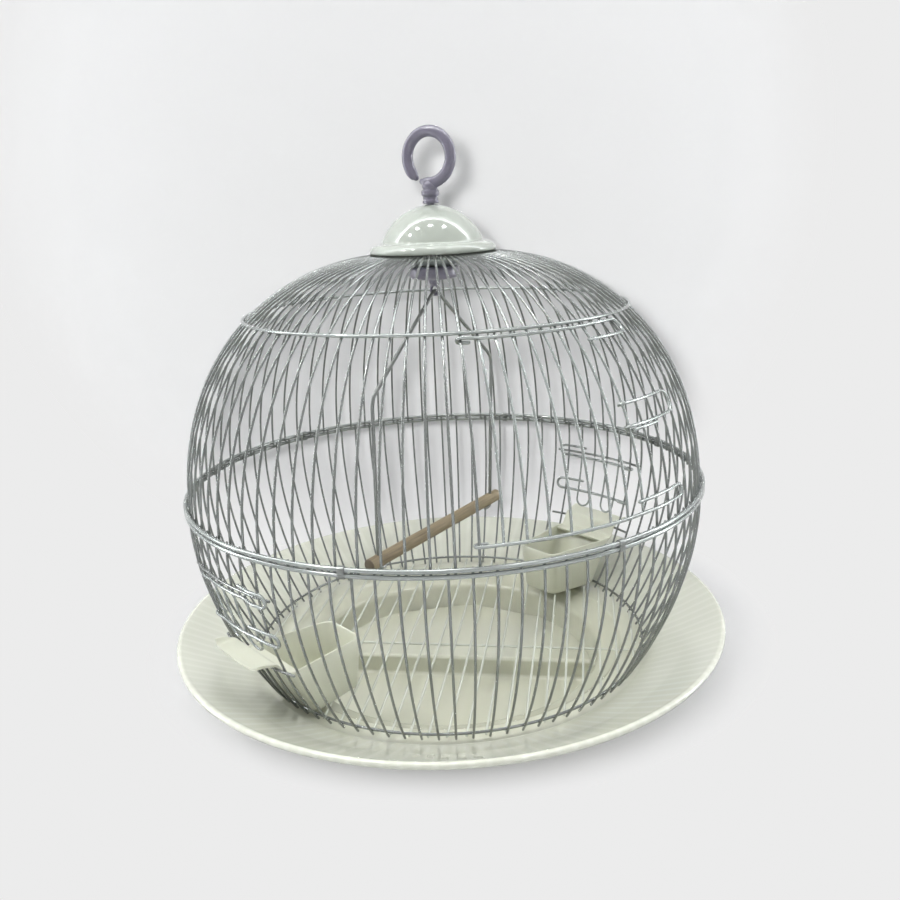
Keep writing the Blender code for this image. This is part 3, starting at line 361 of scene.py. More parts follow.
def floor_plate():
    """The stepped floor: rows across the well from front to back, flat, up the riser and flat again."""
    low, high, riser, overlap = 0.0030, 0.0170, 0.0100, 0.0005
    top = [(-well_radius(low) - overlap, low), (riser - 0.0016, low), (riser - 0.0004, low + 0.0012),
           (riser + 0.0006, high - 0.0014), (riser + 0.0020, high), (well_radius(high) + overlap, high)]
    under = [(-well_radius(0.0) - overlap, 0.0), (riser + 0.0006, 0.0), (riser + 0.0016, 0.0012),
             (riser + 0.0026, high - wall - 0.0014), (riser + 0.0040, high - wall),
             (well_radius(high - wall) + overlap, high - wall)]
    share = np.linspace(-1.0, 1.0, 61)
    fine = np.linspace(0, 1, 21)
    steps = np.concatenate((fine[:-1] ** 0.5, 1 + np.arange(0, 1, 0.25), 2 + np.arange(0, 1, 0.1),
                            3 + np.arange(0, 1, 0.25), 4 + (1 - np.sqrt(1 - fine))))
    grids = []
    for marks in (np.array(top), np.array(under)):
        lane = np.interp(steps, range(len(marks)), marks[:, 0])
        height = np.interp(steps, range(len(marks)), marks[:, 1])
        half = np.sqrt(np.maximum((well_radius(height) + 0.0006) ** 2 - lane ** 2, 1e-8))
        grids.append(np.stack((half[:, None] * share, np.repeat(lane[:, None], len(share), 1),
                               np.repeat(height[:, None], len(share), 1)), -1))
    points, faces = slab(*grids)
    return points @ about_upright(tray_turn).T, faces.tolist()


def add_painted_streaks_and_tint(material, feet, painted_light_colour):
    """Adds to a plastic painted light and shade in soft radial streaks on the flange, for the ribs' shadows
    and reflections, and a darker yellowish tint in patches beside the ribs' feet.
    """
    tree = material.node_tree
    shader = tree.nodes["Principled BSDF"]
    plain = shader.inputs["Base Color"].links[0].from_socket
    where = node(tree, "TexCoord").outputs["Object"]
    around = node(tree, "TexGradient", where, gradient_type="RADIAL").outputs["Fac"]
    # Painted light and shade: soft radial streaks on the flange stand in for the ribs' shadows and
    # reflections in the glossy plastic.
    swell = maths(tree, "SINE", maths(tree, "MULTIPLY", around, 126 * math.tau))
    out = node(tree, "VectorMath", where, operation="LENGTH").outputs["Value"]
    flange = node(tree, "MapRange", out, From_Min=feet, From_Max=feet + 0.020, To_Max=0.10).outputs["Result"]
    painted_rib_shade = maths(tree, "MULTIPLY", swell, flange)
    with_painted_streaks = node(tree, "Mix", data_type="RGBA", Factor=painted_rib_shade, A=plain, B=(*painted_light_colour, 1.0))
    # A darker yellowish tint in noise patches beside the ribs' feet.
    patch = node(tree, "TexNoise", Vector=where, Scale=9.0).outputs["Fac"]
    near = node(tree, "MapRange", out, From_Min=feet + 0.022, From_Max=feet, To_Max=0.55).outputs["Result"]
    yellowish_by_feet = node(tree, "Mix", data_type="RGBA", Factor=maths(tree, "MULTIPLY", patch, near),
                    A=with_painted_streaks.outputs["Result"], B=(0.50, 0.49, 0.33, 1.0))
    feed(tree, shader, {"Base Color": yellowish_by_feet.outputs["Result"]})
    return material


# The tray's plastic carries painted rib shadows and reflections as streaks on its flange.
ivory = add_painted_streaks_and_tint(plastic("tray_ivory", (0.600, 0.612, 0.515), 0.20, 0.9, 900.0, 0.00001, 0.06), 0.137,
                 (1.0, 1.0, 0.95))
piece("tray", [shell, floor_plate()], ivory, "tray", "tray_plastic", "base_tray")


# Lower half. Ribs spot welded outside a floor ring near their feet, so that a short tail of each rib
# stands past the ring; under the two feeders four ribs stop at the sill.
def bezier(corners, count):
    """Points on a cubic Bezier curve at equal steps of its parameter."""
    share = np.linspace(0.0, 1.0, count)[:, None]
    first, second, third, last = (np.array(corner) for corner in corners)
    return ((1 - share) ** 3 * first + 3 * (1 - share) ** 2 * share * second
            + 3 * (1 - share) * share ** 2 * third + share ** 3 * last)


def wires(paths, radius, sides=10, closed=False):
    """Round wires along paths: circles square to the path, carried along untwisted, with domed ends."""
    paths = np.asarray(paths, float)
    if paths.ndim == 2:
        paths = paths[None]
    count, length = paths.shape[:2]
    if closed:
        along = np.roll(paths, -1, 1) - np.roll(paths, 1, 1)
    else:
        along = np.gradient(paths, axis=1)
    along /= np.linalg.norm(along, axis=2, keepdims=True)
    normal = np.zeros((count, 3))
    normal[:, 2] = 1.0
    normal[np.abs(along[:, 0, 2]) > 0.8] = (1.0, 0.0, 0.0)
    frames = np.empty_like(paths)
    for step in range(length):
        normal = normal - (normal * along[:, step]).sum(1, keepdims=True) * along[:, step]
        normal /= np.linalg.norm(normal, axis=1, keepdims=True)
        frames[:, step] = normal
    radius = np.broadcast_to(np.asarray(radius, float), (length,))
    if not closed:
        dome = np.radians((65.0, 38.0, 15.0))
        start = paths[:, :1] - along[:, :1] * (radius[0] * np.sin(dome))[None, :, None]
        end = paths[:, -1:] + along[:, -1:] * (radius[-1] * np.sin(dome[::-1]))[None, :, None]
        poles = np.stack((paths[:, 0] - along[:, 0] * radius[0], paths[:, -1] + along[:, -1] * radius[-1]), 1)
        paths = np.concatenate((start, paths, end), 1)
        three = np.ones((1, 3, 1))
        frames = np.concatenate((frames[:, :1] * three, frames, frames[:, -1:] * three), 1)
        along = np.concatenate((along[:, :1] * three, along, along[:, -1:] * three), 1)
        radius = np.concatenate((radius[0] * np.cos(dome), radius, radius[-1] * np.cos(dome[::-1])))
    other = np.cross(along, frames)
    angle = np.arange(sides) * math.tau / sides
    points = (paths[:, :, None] + radius[None, :, None, None]
              * (np.cos(angle)[None, None, :, None] * frames[:, :, None]
                 + np.sin(angle)[None, None, :, None] * other[:, :, None]))
    rings = points.shape[1]
    points = points.reshape(-1, 3)
    tube = grid_faces(rings, sides, closed, True)
    faces = []
    for item in range(count):
        first = item * rings * sides
        faces += (tube + first).tolist()
        if not closed:
            pole = len(points) + 2 * item
            faces += flipped(fan(pole, first, sides)).tolist()
            faces += fan(pole + 1, first + (rings - 1) * sides, sides).tolist()
    if not closed:
        points = np.vstack((points, poles.reshape(-1, 3)))
    return points, faces


def round_about(radius, azimuth, height):
    """Points from their radius, azimuth in degrees and height over the floor."""
    radius, azimuth, height = np.broadcast_arrays(radius, np.radians(azimuth), height)
    return np.stack((radius * np.cos(azimuth), radius * np.sin(azimuth), height), -1)


def on_line(line, height):
    """Radius of a rib's line at a height, and its direction there."""
    slope = np.gradient(line, axis=0)
    slope /= np.linalg.norm(slope, axis=1, keepdims=True)
    return (np.interp(height, line[:, 1], line[:, 0]), np.interp(height, line[:, 1], slope[:, 0]),
            np.interp(height, line[:, 1], slope[:, 1]))


def beside(line, azimuth, height, offset):
    """Points pushed out square to the ribs' surface by the offset."""
    radius, run, climb = on_line(line, height)
    return round_about(radius + offset * climb, azimuth, height - offset * run)


def cut(line, low, high, count=40):
    """A stretch of a rib's line between two heights, at equal steps of its length."""
    return at_lengths(line, np.linspace(*np.interp((low, high), line[:, 1], lengths(line)), count))


def wire_paint(name, shade, metal, rough):
    """Silver-grey wire: clear-coated metallic paint, mottled, with a fine drawn and pitted surface."""
    material, tree, shader = surfaced(name)
    where = node(tree, "TexCoord").outputs["Object"]
    patch = node(tree, "TexNoise", Vector=where, Scale=30.0, Detail=6.0).outputs["Fac"]
    speck = node(tree, "TexNoise", Vector=where, Scale=1800.0, Detail=4.0).outputs["Fac"]
    tone = ramp(tree, patch, (0.30, [value * 0.93 for value in shade]),
                (0.65, [value * 1.03 for value in shade]))
    rub = node(tree, "MapRange", speck, To_Min=rough * 0.9, To_Max=rough * 1.15)
    pit = node(tree, "Bump", Strength=0.3, Distance=0.000008, Height=speck)
    feed(tree, shader, {"Metallic": metal, "Coat Weight": 0.3, "Coat Roughness": 0.15, "Base Color": tone,
                        "Roughness": rub.outputs["Result"], "Normal": pit.outputs["Normal"]})
    return material


silver = wire_paint("silver_wire", (0.205, 0.217, 0.208), 0.70, 0.20)
seam = 0.164
rib_count = 84
pitch_angle = 360.0 / rib_count
rib_wire = 0.0008
floor_wire = 0.0009
inside_ribs = 0.0014
rib_radius = 0.1720
lower_line = bezier(((0.1360, -0.1214), (0.1548, -0.0948), (rib_radius + 0.0055, -0.0400),
                     (rib_radius, 0.0015)), 600)
lower_line[:, 1] += seam
lower_azimuths = 274.2 + np.arange(rib_count) * pitch_angle
feeder_first = 70
feeder_cut = [lower_azimuths[(feeder_first + side * rib_count // 2 + index) % rib_count] % 360.0
              for side in (0, 1) for index in range(4)]
sill_height = seam - 0.0770
whole = []
short = []
for azimuth in lower_azimuths:
    if any(abs((azimuth - other + 180.0) % 360.0 - 180.0) < 0.1 for other in feeder_cut):
        line = cut(lower_line, lower_line[0, 1], sill_height - 0.0004, 22)
        short.append(round_about(line[:, 0], azimuth, line[:, 1]))
    else:
        line = cut(lower_line, lower_line[0, 1], lower_line[-1, 1], 46)
        whole.append(round_about(line[:, 0], azimuth, line[:, 1]))
ring_height = seam - 0.1183
ring_place = beside(lower_line, 0.0, ring_height, -inside_ribs)
circle = np.arange(240) * 1.5
floor_ring = round_about(ring_place[0], circle, ring_place[2])
basket = [wires(whole, rib_wire), wires(short, rib_wire), wires(floor_ring, floor_wire, 12, True)]
piece("lower_basket", basket, silver, "cage", "cage_wire", "lower_ribs")

# Upper half. The dome's ribs run from just under the seam to the crown washer; eight of them stop at
# the band over the main door.
crown_radius = 0.0285
crown_rise = 0.1522
upper_line = bezier(((rib_radius, -0.0015), (rib_radius, 0.0885), (crown_radius + 0.0830, crown_rise),
                     (crown_radius, crown_rise)), 800)
upper_line[:, 1] += seam
upper_azimuths = 275.5 + np.arange(rib_count) * pitch_angle
band_height = seam + 0.1154
whole = []
short = []
for index, azimuth in enumerate(upper_azimuths):
    over_door = 1 <= index <= 8
    low = band_height - 0.0010 if over_door else upper_line[0, 1]
    line = upper_line[np.searchsorted(upper_line[:, 1], low):]
    line = at_lengths(line, np.linspace(0.0, lengths(line)[-1], 56 if over_door else 72))
    (short if over_door else whole).append(round_about(line[:, 0], azimuth, line[:, 1]))
crown = seam + crown_rise
washer = turned(eased([(0.0300, crown + 0.0013), (0.0300, crown - 0.0013), (0.0220, crown - 0.0013),
                       (0.0220, crown + 0.0013)], 0.0005, 1, True), 120, True)
piece("upper_dome", [wires(whole, rib_wire), wires(short, rib_wire), washer], silver, "cage", "cage_wire",
      "upper_ribs")

# Rings. Two thick wires meet at the seam outside the ribs, and a thinner one goes round the dome over
# the main door.
rim_radius = 0.1746
rim_wire = 0.0014
off_seam = 0.00165
band_wire = 0.00105
upper_rim = round_about(rim_radius, circle, seam + off_seam)
lower_rim = round_about(rim_radius, circle, seam - off_seam)
rim_silver = wire_paint("rim_silver", (0.32, 0.345, 0.33), 0.7, 0.18)
piece("upper_rim", [wires(upper_rim, rim_wire, 14, True)], rim_silver, "cage", "rim_wire", "upper_rim_ring")
piece("lower_rim", [wires(lower_rim, rim_wire, 14, True)], rim_silver, "cage", "rim_wire", "lower_rim_ring")
band_place = beside(upper_line, 0.0, band_height, 0.0017)
band = round_about(band_place[0], circle, band_place[2])
piece("band", [wires(band, band_wire, 12, True)], rim_silver, "cage", "rim_wire", "band_ring")

# Clips. Short strips of steel crimped round both rim rings, each squeezed in at the seam.
def strip(path, side, width, thick):
    """A flat strip along a path: its section is a rounded oblong, wide along the side direction."""
    path = np.asarray(path, float)
    along = np.gradient(path, axis=0)
    along /= np.linalg.norm(along, axis=1, keepdims=True)
    out = np.cross(along, side)
    sides = 16
    angle = np.arange(sides) * math.tau / sides
    wide = np.sign(np.cos(angle)) * np.abs(np.cos(angle)) ** 0.4 * width / 2
    deep = np.sign(np.sin(angle)) * np.abs(np.sin(angle)) ** 0.6 * thick / 2
    points = (path[:, None] + wide[None, :, None] * np.asarray(side)[None, None]
              + deep[None, :, None] * out[:, None]).reshape(-1, 3)
    count = len(path)
    faces = flipped(grid_faces(count, sides, False, True)).tolist()
    faces.append(tuple(range(sides)))
    faces.append(tuple(count * sides - 1 - column for column in range(sides)))
    return points, faces


clip_steel = wire_paint("clip_steel", (0.20, 0.21, 0.20), 0.8, 0.30)
first_gap = 276.992857
for number, wanted in enumerate((21, 68, 130, 180, 250, 303), 1):
    middle = first_gap + 2 * pitch_angle * round((wanted - first_gap) / (2 * pitch_angle))
    outward = np.array((math.cos(math.radians(middle)), math.sin(math.radians(middle)), 0.0))
    sideways = np.array((-outward[1], outward[0], 0.0))
    ring_at = outward * rim_radius + np.array((0.0, 0.0, seam))
    loop = [(-0.00155, -0.0006), (-0.00175, -0.0022), (-0.0009, -0.0034), (0.0006, -0.0035),
            (0.00175, -0.0024), (0.00165, -0.0009), (0.00125, 0.0), (0.00165, 0.0009), (0.00175, 0.0024),
            (0.0006, 0.0035), (-0.0009, 0.0034), (-0.00175, 0.0022), (-0.00155, 0.0006)]
    bent = eased(loop, 0.00035, 2)
    path = ring_at + bent[:, :1] * outward + bent[:, 1:] * np.array((0.0, 0.0, 1.0))
    piece(f"clip_{number}", [strip(path, sideways, 0.0040, 0.0005)], clip_steel, "cage", "clip_steel",
          f"rim_clip_{number}")


# Main door. Eight ribs spot welded inside two long wires; each wire hooks round the hinge rib and
# ends past the opening in a hairpin that rests on the cage.
def hook_round(centre, tangent, normal, radius, angles):
    """An arc round a rib, at angles in degrees from the tangent towards the outside."""
    turn = np.radians(np.asarray(angles, float))[:, None]
    return centre + radius * (np.cos(turn) * tangent + np.sin(turn) * normal)


def rib_frame(line, azimuth, height):
    """A point on a rib, with the tangent round the cage and the outward normal there."""
    radius, run, climb = (float(value) for value in on_line(line, height))
    angle = math.radians(azimuth)
    centre = np.array((radius * math.cos(angle), radius * math.sin(angle), height))
    tangent = np.array((-math.sin(angle), math.cos(angle), 0.0))
    normal = np.array((climb * math.cos(angle), climb * math.sin(angle), -run))
    return centre, tangent, normal


def hairpin(line, azimuth, first, second, offset):
    """Half a circle over the ribs' surface between two heights."""
    half = (second - first) / 2
    radius = float(on_line(line, (first + second) / 2)[0])
    turn = np.radians(np.arange(0, 181, 12))
    return beside(line, azimuth + np.degrees(abs(half) * np.sin(turn) / radius),
                  (first + second) / 2 - half * np.cos(turn), offset)


def over(line, start, end, height, first, last):
    """A wire round the cage between two azimuths at one height, its offset easing from first to last."""
    azimuth = np.linspace(start, end, max(2, int(abs(end - start) / 0.4) + 1))
    share = np.linspace(0.0, 1.0, len(azimuth))
    share = share * share * (3 - 2 * share)
    return beside(line, azimuth, height, first + (last - first) * share)


door_silver = wire_paint("door_silver", (0.32, 0.345, 0.33), 0.7, 0.20)
door_azimuths = upper_azimuths[1:9]
hinge_azimuth = upper_azimuths[0]
door_last = door_azimuths[-1]
door_wire = 0.00105
weld = 0.0013
rest = 0.0019
hook = 0.0023
hook_start = 0.0045
hook_angles = range(285, 80, -15)
door_shapes = []
for height, back_height in ((seam + 0.1129, seam + 0.1058), (seam + 0.0130, seam + 0.0203)):
    centre, tangent, normal = rib_frame(upper_line, hinge_azimuth, height)
    bend = door_last + 12.0
    path = np.concatenate((
        [centre + hook_start * tangent - hook * normal],
        hook_round(centre, tangent, normal, hook, hook_angles),
        over(upper_line, hinge_azimuth + 1.2, door_azimuths[0], height, 0.0021, weld),
        over(upper_line, door_azimuths[0], door_last, height, weld, weld),
        over(upper_line, door_last, door_last + pitch_angle, height, weld, rest),
        over(upper_line, door_last + pitch_angle, bend, height, rest, rest),
        hairpin(upper_line, bend, height, back_height, rest),
        over(upper_line, bend, door_last - 1.5, back_height, rest, rest)))
    door_shapes.append(wires(eased(path, 0.0006, 5), door_wire, 12))
line = cut(upper_line, seam + 0.0120, seam + 0.1136, 40)
door_ribs = [round_about(line[:, 0], azimuth, line[:, 1]) for azimuth in door_azimuths]
door_shapes.append(wires(door_ribs, rib_wire))
piece("door", door_shapes, door_silver, "door", "door_wire", "main_door")

# Latch. One bent wire: an eye round the door's last rib, two legs over the next ribs, a wide bend,
# and a lower eye whose end turns back outside.
latch_wire = 0.00095
latch_eye = 0.0021
high = seam + 0.0725
low = seam + 0.0605
bend = door_last + 14.0
centre, tangent, normal = rib_frame(upper_line, door_last, high)
upper_eye = hook_round(centre, tangent, normal, latch_eye, range(330, 75, -15))
centre, tangent, normal = rib_frame(upper_line, door_last, low)
lower_eye = hook_round(centre, tangent, normal, latch_eye, range(75, 280, 15))
centre, tangent, normal = rib_frame(upper_line, door_last, low - latch_eye)
path = np.concatenate((
    upper_eye,
    over(upper_line, door_last + 1.5, bend, high, rest, rest),
    hairpin(upper_line, bend, high, low, rest),
    over(upper_line, bend, door_last + 1.5, low, rest, rest),
    lower_eye,
    hook_round(centre, tangent, normal, latch_eye, range(290, 436, 15)),
    over(upper_line, door_last + 3.0, door_last + 8.2, low - latch_eye, 0.0022, 0.0020)))
piece("latch", [wires(eased(path, 0.0005, 4), latch_wire, 12)], door_silver, "latch", "door_wire",
      "door_latch")

# Feeder openings. A lintel with the cut ribs' ends above, a sill below, and between them a small door
# of two hooked wires over ribs that are bent together in pairs.
frame_wire = 0.0009
past_ribs = 3.4
over_ribs = 0.0017
over_ends = 0.0011
for side, label in ((0, "front"), (1, "back")):
    cut_azimuths = lower_azimuths[feeder_first] + side * 180.0 + np.arange(4) * pitch_angle
    before = cut_azimuths[0] - pitch_angle
    after = cut_azimuths[-1] + pitch_angle
    lintel_height = seam - 0.0250
    path = np.concatenate((
        over(lower_line, before - past_ribs, before, lintel_height, over_ribs, over_ribs),
        over(lower_line, before, cut_azimuths[0], lintel_height, over_ribs, over_ends),
        over(lower_line, cut_azimuths[0], cut_azimuths[-1], lintel_height, over_ends, over_ends),
        over(lower_line, cut_azimuths[-1], after, lintel_height, over_ends, over_ribs),
        over(lower_line, after, after + past_ribs, lintel_height, over_ribs, over_ribs)))
    line = cut(lower_line, lintel_height - 0.0006, lower_line[-1, 1], 12)
    stubs = [round_about(line[:, 0], azimuth, line[:, 1]) for azimuth in cut_azimuths]
    piece(f"lintel_{label}", [wires(eased(path, 0.0008, 2), frame_wire, 10), wires(stubs, rib_wire)],
          silver, "cage", "cage_wire", f"feeder_lintel_{label}")
    path = over(lower_line, before - past_ribs, after + past_ribs, sill_height, rest, rest)
    piece(f"sill_{label}", [wires(eased(path, 0.0008, 1), frame_wire, 10)], silver, "cage", "cage_wire",
          f"feeder_sill_{label}")
    shapes = []
    bend = after + 1.9
    for height, back_height, clear in ((seam - 0.0289, seam - 0.0212, 0.0040),
                                       (seam - 0.0564, seam - 0.0485, 0.0021)):
        centre, tangent, normal = rib_frame(lower_line, before, height)
        path = np.concatenate((
            [centre + hook_start * tangent - hook * normal],
            hook_round(centre, tangent, normal, hook, hook_angles),
            over(lower_line, before + 1.2, cut_azimuths[0], height, 0.0021, weld),
            over(lower_line, cut_azimuths[0], cut_azimuths[-1], height, weld, weld),
            over(lower_line, cut_azimuths[-1], after, height, weld, clear),
            hairpin(lower_line, bend, height, back_height, clear),
            over(lower_line, after, after - 5.0, back_height, clear, 0.0020)))
        shapes.append(wires(eased(path, 0.0006, 5), door_wire, 12))
    line = cut(lower_line, seam - 0.0620, seam - 0.0276, 20)
    for first, second in zip(cut_azimuths[0::2], cut_azimuths[1::2]):
        down = round_about(line[::-1, 0], first, line[::-1, 1])
        up = round_about(line[:, 0], second, line[:, 1])
        middle = (down[-1] + up[0]) / 2
        aside = up[0] - middle
        drop = (down[-1] - down[-2]) / np.linalg.norm(down[-1] - down[-2]) * np.linalg.norm(aside)
        turn = np.radians(np.arange(15, 180, 15))[:, None]
        loop = middle - np.cos(turn) * aside + np.sin(turn) * drop
        shapes.append(wires(eased(np.concatenate((down, loop, up)), 0.0012, 1), rib_wire, 10))
    piece(f"feeder_{label}", shapes, door_silver, f"{label}_feeder_door", "door_wire", f"feeder_door_{label}")

# Floor grille. Straight parallel wires that lie on the floor ring, spot welded over one cross wire.
grille_height = 0.04425
grille_reach = float(on_line(lower_line, grille_height)[0]) - inside_ribs
grille_pitch = 0.0113
sideways, forwards = about_upright(tray_turn).T[:2]
lanes = (np.arange(24) - 11.5) * grille_pitch
halves = np.sqrt(grille_reach ** 2 - lanes ** 2)
share = np.linspace(-1.0, 1.0, 9)
rods = [lane * sideways + (half * share)[:, None] * forwards + (0.0, 0.0, grille_height)
        for lane, half in zip(lanes, halves)]
cross_place = 0.0193
cross_half = math.sqrt(0.1346 ** 2 - cross_place ** 2)
cross = (cross_half * share)[:, None] * sideways - cross_place * forwards + (0.0, 0.0, grille_height - 0.0012)
grille_silver = wire_paint("grille_silver", (0.60, 0.62, 0.54), 0.2, 0.25)
piece("grille", [wires(rods, rib_wire, 10), wires(cross, rib_wire, 10)], grille_silver, "cage", "cage_wire",
      "floor_grille")


# Cups. Thin moulded boxes, narrower towards the middle of the cage and towards the floor, with a broad
# lip that runs out over the sill.
def box_outline(near, far, near_half, far_half, corner):
    """A trapezium along +X with rounded corners of 12 points each, which run anticlockwise."""
    corners = np.array(((near, -near_half), (far, -far_half), (far, far_half), (near, near_half)))
    points = []
    for index in range(4):
        here, before, after = corners[index], corners[index - 1], corners[(index + 1) % 4]
        into = (here - before) / np.linalg.norm(here - before)
        away = (after - here) / np.linalg.norm(after - here)
        start, end = here - into * corner, here + away * corner
        for share in np.linspace(0.0, 1.0, 12):
            points.append((1 - share) ** 2 * start + 2 * (1 - share) * share * here + share ** 2 * end)
    return np.array(points)


def cup_body(low, high, wall_thick):
    """The box's skin: outlines stacked up the outside, over the rim, down the inside and over the floor."""
    near, near_half, far_half, floor_share = 0.0915, 0.0180, 0.0270, 0.88
    rows = []
    for height, inset in ((low, 0.0022), (low + 0.0006, 0.0006), (low + 0.0022, 0.0), (high - 0.0006, 0.0),
                          (high, 0.0004), (high, wall_thick - 0.0004), (high - 0.0006, wall_thick),
                          (low + wall_thick + 0.0020, wall_thick),
                          (low + wall_thick + 0.0005, wall_thick + 0.0006),
                          (low + wall_thick, wall_thick + 0.0022)):
        share = (height - low) / (high - low)
        scale = floor_share + (1 - floor_share) * share
        inner = near + (1 - scale) * near_half + inset
        line_radius = float(on_line(lower_line, height)[0]) - inside_ribs
        outer = math.sqrt(line_radius ** 2 - (far_half * scale) ** 2) - inset
        outline = box_outline(inner, outer, near_half * scale - inset, far_half * scale - inset, 0.0065)
        rows.append(np.column_stack((outline, np.full(len(outline), height))))
    points = np.concatenate((*rows, [rows[0].mean(0), rows[-1].mean(0)]))
    sides = len(outline)
    pole = sides * len(rows)
    faces = grid_faces(len(rows), sides, False, True).tolist()
    faces += flipped(fan(pole, 0, sides)).tolist() + fan(pole + 1, pole - sides, sides).tolist()
    return points, faces


def cup_lip(high):
    """The lip: a curved sheet from the rim out over the sill, dished across, with upturned edges."""
    sill_x = float(on_line(lower_line, sill_height)[0]) + rest
    spine = np.array(((sill_x - 0.0170, high - 0.0012), (sill_x - 0.0080, high - 0.0004),
                      (sill_x - 0.0030, sill_height + 0.0027), (sill_x + 0.0010, sill_height + 0.0026),
                      (sill_x + 0.0060, sill_height + 0.0030), (sill_x + 0.0125, sill_height + 0.0038)))
    spine = eased(spine, 0.0010, 4)
    side = np.linspace(-1.0, 1.0, 41)
    rows = []
    for across_x, height in spine:
        outside = np.clip((across_x - sill_x + 0.002) / 0.010, 0.0, 1.0)
        half = 0.0255 + 0.0005 * outside
        curl = 0.0022 * outside * np.clip((np.abs(side) - 0.80) / 0.20, 0.0, 1.0) ** 2
        bowed = across_x - 0.0022 * outside * side ** 4
        rows.append(np.stack((bowed, side * half, height + curl), -1))
    grid = np.array(rows)
    points, faces = slab(grid, grid - (0.0, 0.0, 0.0014))
    return points, flipped(faces).tolist()


cup_ivory = plastic("cup_ivory", (0.60, 0.61, 0.49), 0.30, 0.4, 1200.0, 0.00001)
cup_low = grille_height + 0.0011
cup_high = cup_low + 0.0350
for side, label in ((0, "front"), (1, "back")):
    turn = about_upright(math.radians(lower_azimuths[feeder_first] + 1.5 * pitch_angle + side * 180.0))
    shapes = [(points @ turn.T, faces)
              for points, faces in (cup_body(cup_low, cup_high, 0.0015), cup_lip(cup_high))]
    piece(f"cup_{label}", shapes, cup_ivory, f"{label}_cup", "cup_plastic", f"feeder_cup_{label}")

# Cap. A glossy moulded dome on a rolled flange, seated on the ribs round the crown.
cap_seat = crown + 0.0008
cap_radius = 0.0336
cap_rise = 0.0233
hollow_radius = 0.0318
hollow_rise = 0.0229
stem_hole = 0.0032
cap_top = cap_seat + 0.0068 + cap_rise
sphere = (cap_radius ** 2 + cap_rise ** 2) / (2 * cap_rise)
inner_sphere = (hollow_radius ** 2 + hollow_rise ** 2) / (2 * hollow_rise)
arc = np.linspace(math.asin(stem_hole / sphere), math.asin(cap_radius / sphere), 30)
dome = np.stack((sphere * np.sin(arc), cap_top + sphere * (np.cos(arc) - 1)), 1)
arc = np.linspace(math.asin(hollow_radius / inner_sphere), math.asin(stem_hole / inner_sphere), 24)
hollow = np.stack((inner_sphere * np.sin(arc), cap_top - 0.0018 + inner_sphere * (np.cos(arc) - 1)), 1)
bead = [(0.0341, cap_seat + 0.0066), (0.0368, cap_seat + 0.0063), (0.0396, cap_seat + 0.0052),
        (0.0413, cap_seat + 0.0034), (0.0419, cap_seat + 0.0016), (0.0415, cap_seat + 0.0004),
        (0.0405, cap_seat), (0.0360, cap_seat), (0.0336, cap_seat + 0.0012), (0.0320, cap_seat + 0.0034)]
section = eased(np.concatenate((dome, bead, hollow)), 0.0006, 2, closed=True)
cap_gloss = plastic("cap_gloss", (0.425, 0.460, 0.400), 0.10, 1.0, 400.0, 0.000002, 0.015)
cap_dome = piece("cap_dome", [turned(section, 160, True)], cap_gloss, "cage", "cap_plastic", "cap")
all_but_cap.objects.link(cap_dome)
for kept_out in all_but_cap.collection_objects:
    kept_out.light_linking.link_state = "EXCLUDE"

# Clamp plate. A dished steel washer under the crown, pulled up by the nut of the hanging ring.
plate_rim = crown - 0.0016
section = [(stem_hole, plate_rim - 0.0040), (0.0119, plate_rim - 0.0040), (0.0217, plate_rim),
           (0.0286, plate_rim), (0.0290, plate_rim - 0.0004), (0.0290, plate_rim - 0.0016),
           (0.0286, plate_rim - 0.0020), (0.0227, plate_rim - 0.0020), (0.0130, plate_rim - 0.0060),
           (stem_hole, plate_rim - 0.0060)]
plate_silver = wire_paint("plate_silver", (0.42, 0.46, 0.44), 0.6, 0.4)
piece("crown_plate", [turned(eased(section, 0.0006, 2, True), 96, True)], plate_silver, "cage", "plate_steel",
      "clamp_plate")

# Swing nut. A moulded nut with an eye below it, which turns with the stem and carries the swing.
swing_turn = math.radians(51.0)
nut_top = plate_rim - 0.0063
section = [(0.0, nut_top - 0.0050), (0.0031, nut_top - 0.0050), (0.0032, nut_top - 0.0004),
           (0.0036, nut_top), (0.0150, nut_top), (0.0166, nut_top - 0.0008), (0.0170, nut_top - 0.0022),
           (0.0170, nut_top - 0.0058), (0.0162, nut_top - 0.0075), (0.0142, nut_top - 0.0086),
           (0.0056, nut_top - 0.0087), (0.0040, nut_top - 0.0095), (0.0036, nut_top - 0.0112),
           (0.0034, nut_top - 0.0122), (0.0022, nut_top - 0.0126), (0.0, nut_top - 0.0126)]
profile = np.array(section)
nut_body = turned(at_lengths(profile, np.linspace(0.0, lengths(profile)[-1], 90)), 96)
eye_radius = 0.0032
eye_wire = 0.0011
eye_height = nut_top - 0.0086 - 0.0040 - eye_radius
turn = np.arange(48) * math.tau / 48
eye_flat = np.array((-math.sin(swing_turn), math.cos(swing_turn), 0.0))
eye_ring = (np.array((0.0, 0.0, eye_height)) + eye_radius * (np.cos(turn)[:, None] * eye_flat
            + np.sin(turn)[:, None] * np.array((0.0, 0.0, 1.0))))
lavender = plastic("lavender_plastic", (0.13, 0.12, 0.165), 0.18, 0.8, 700.0, 0.000004, 0.03)
piece("nut", [nut_body, wires(eye_ring, eye_wire, 12, True)], lavender, "hanger", "hanger_plastic",
      "swing_nut")

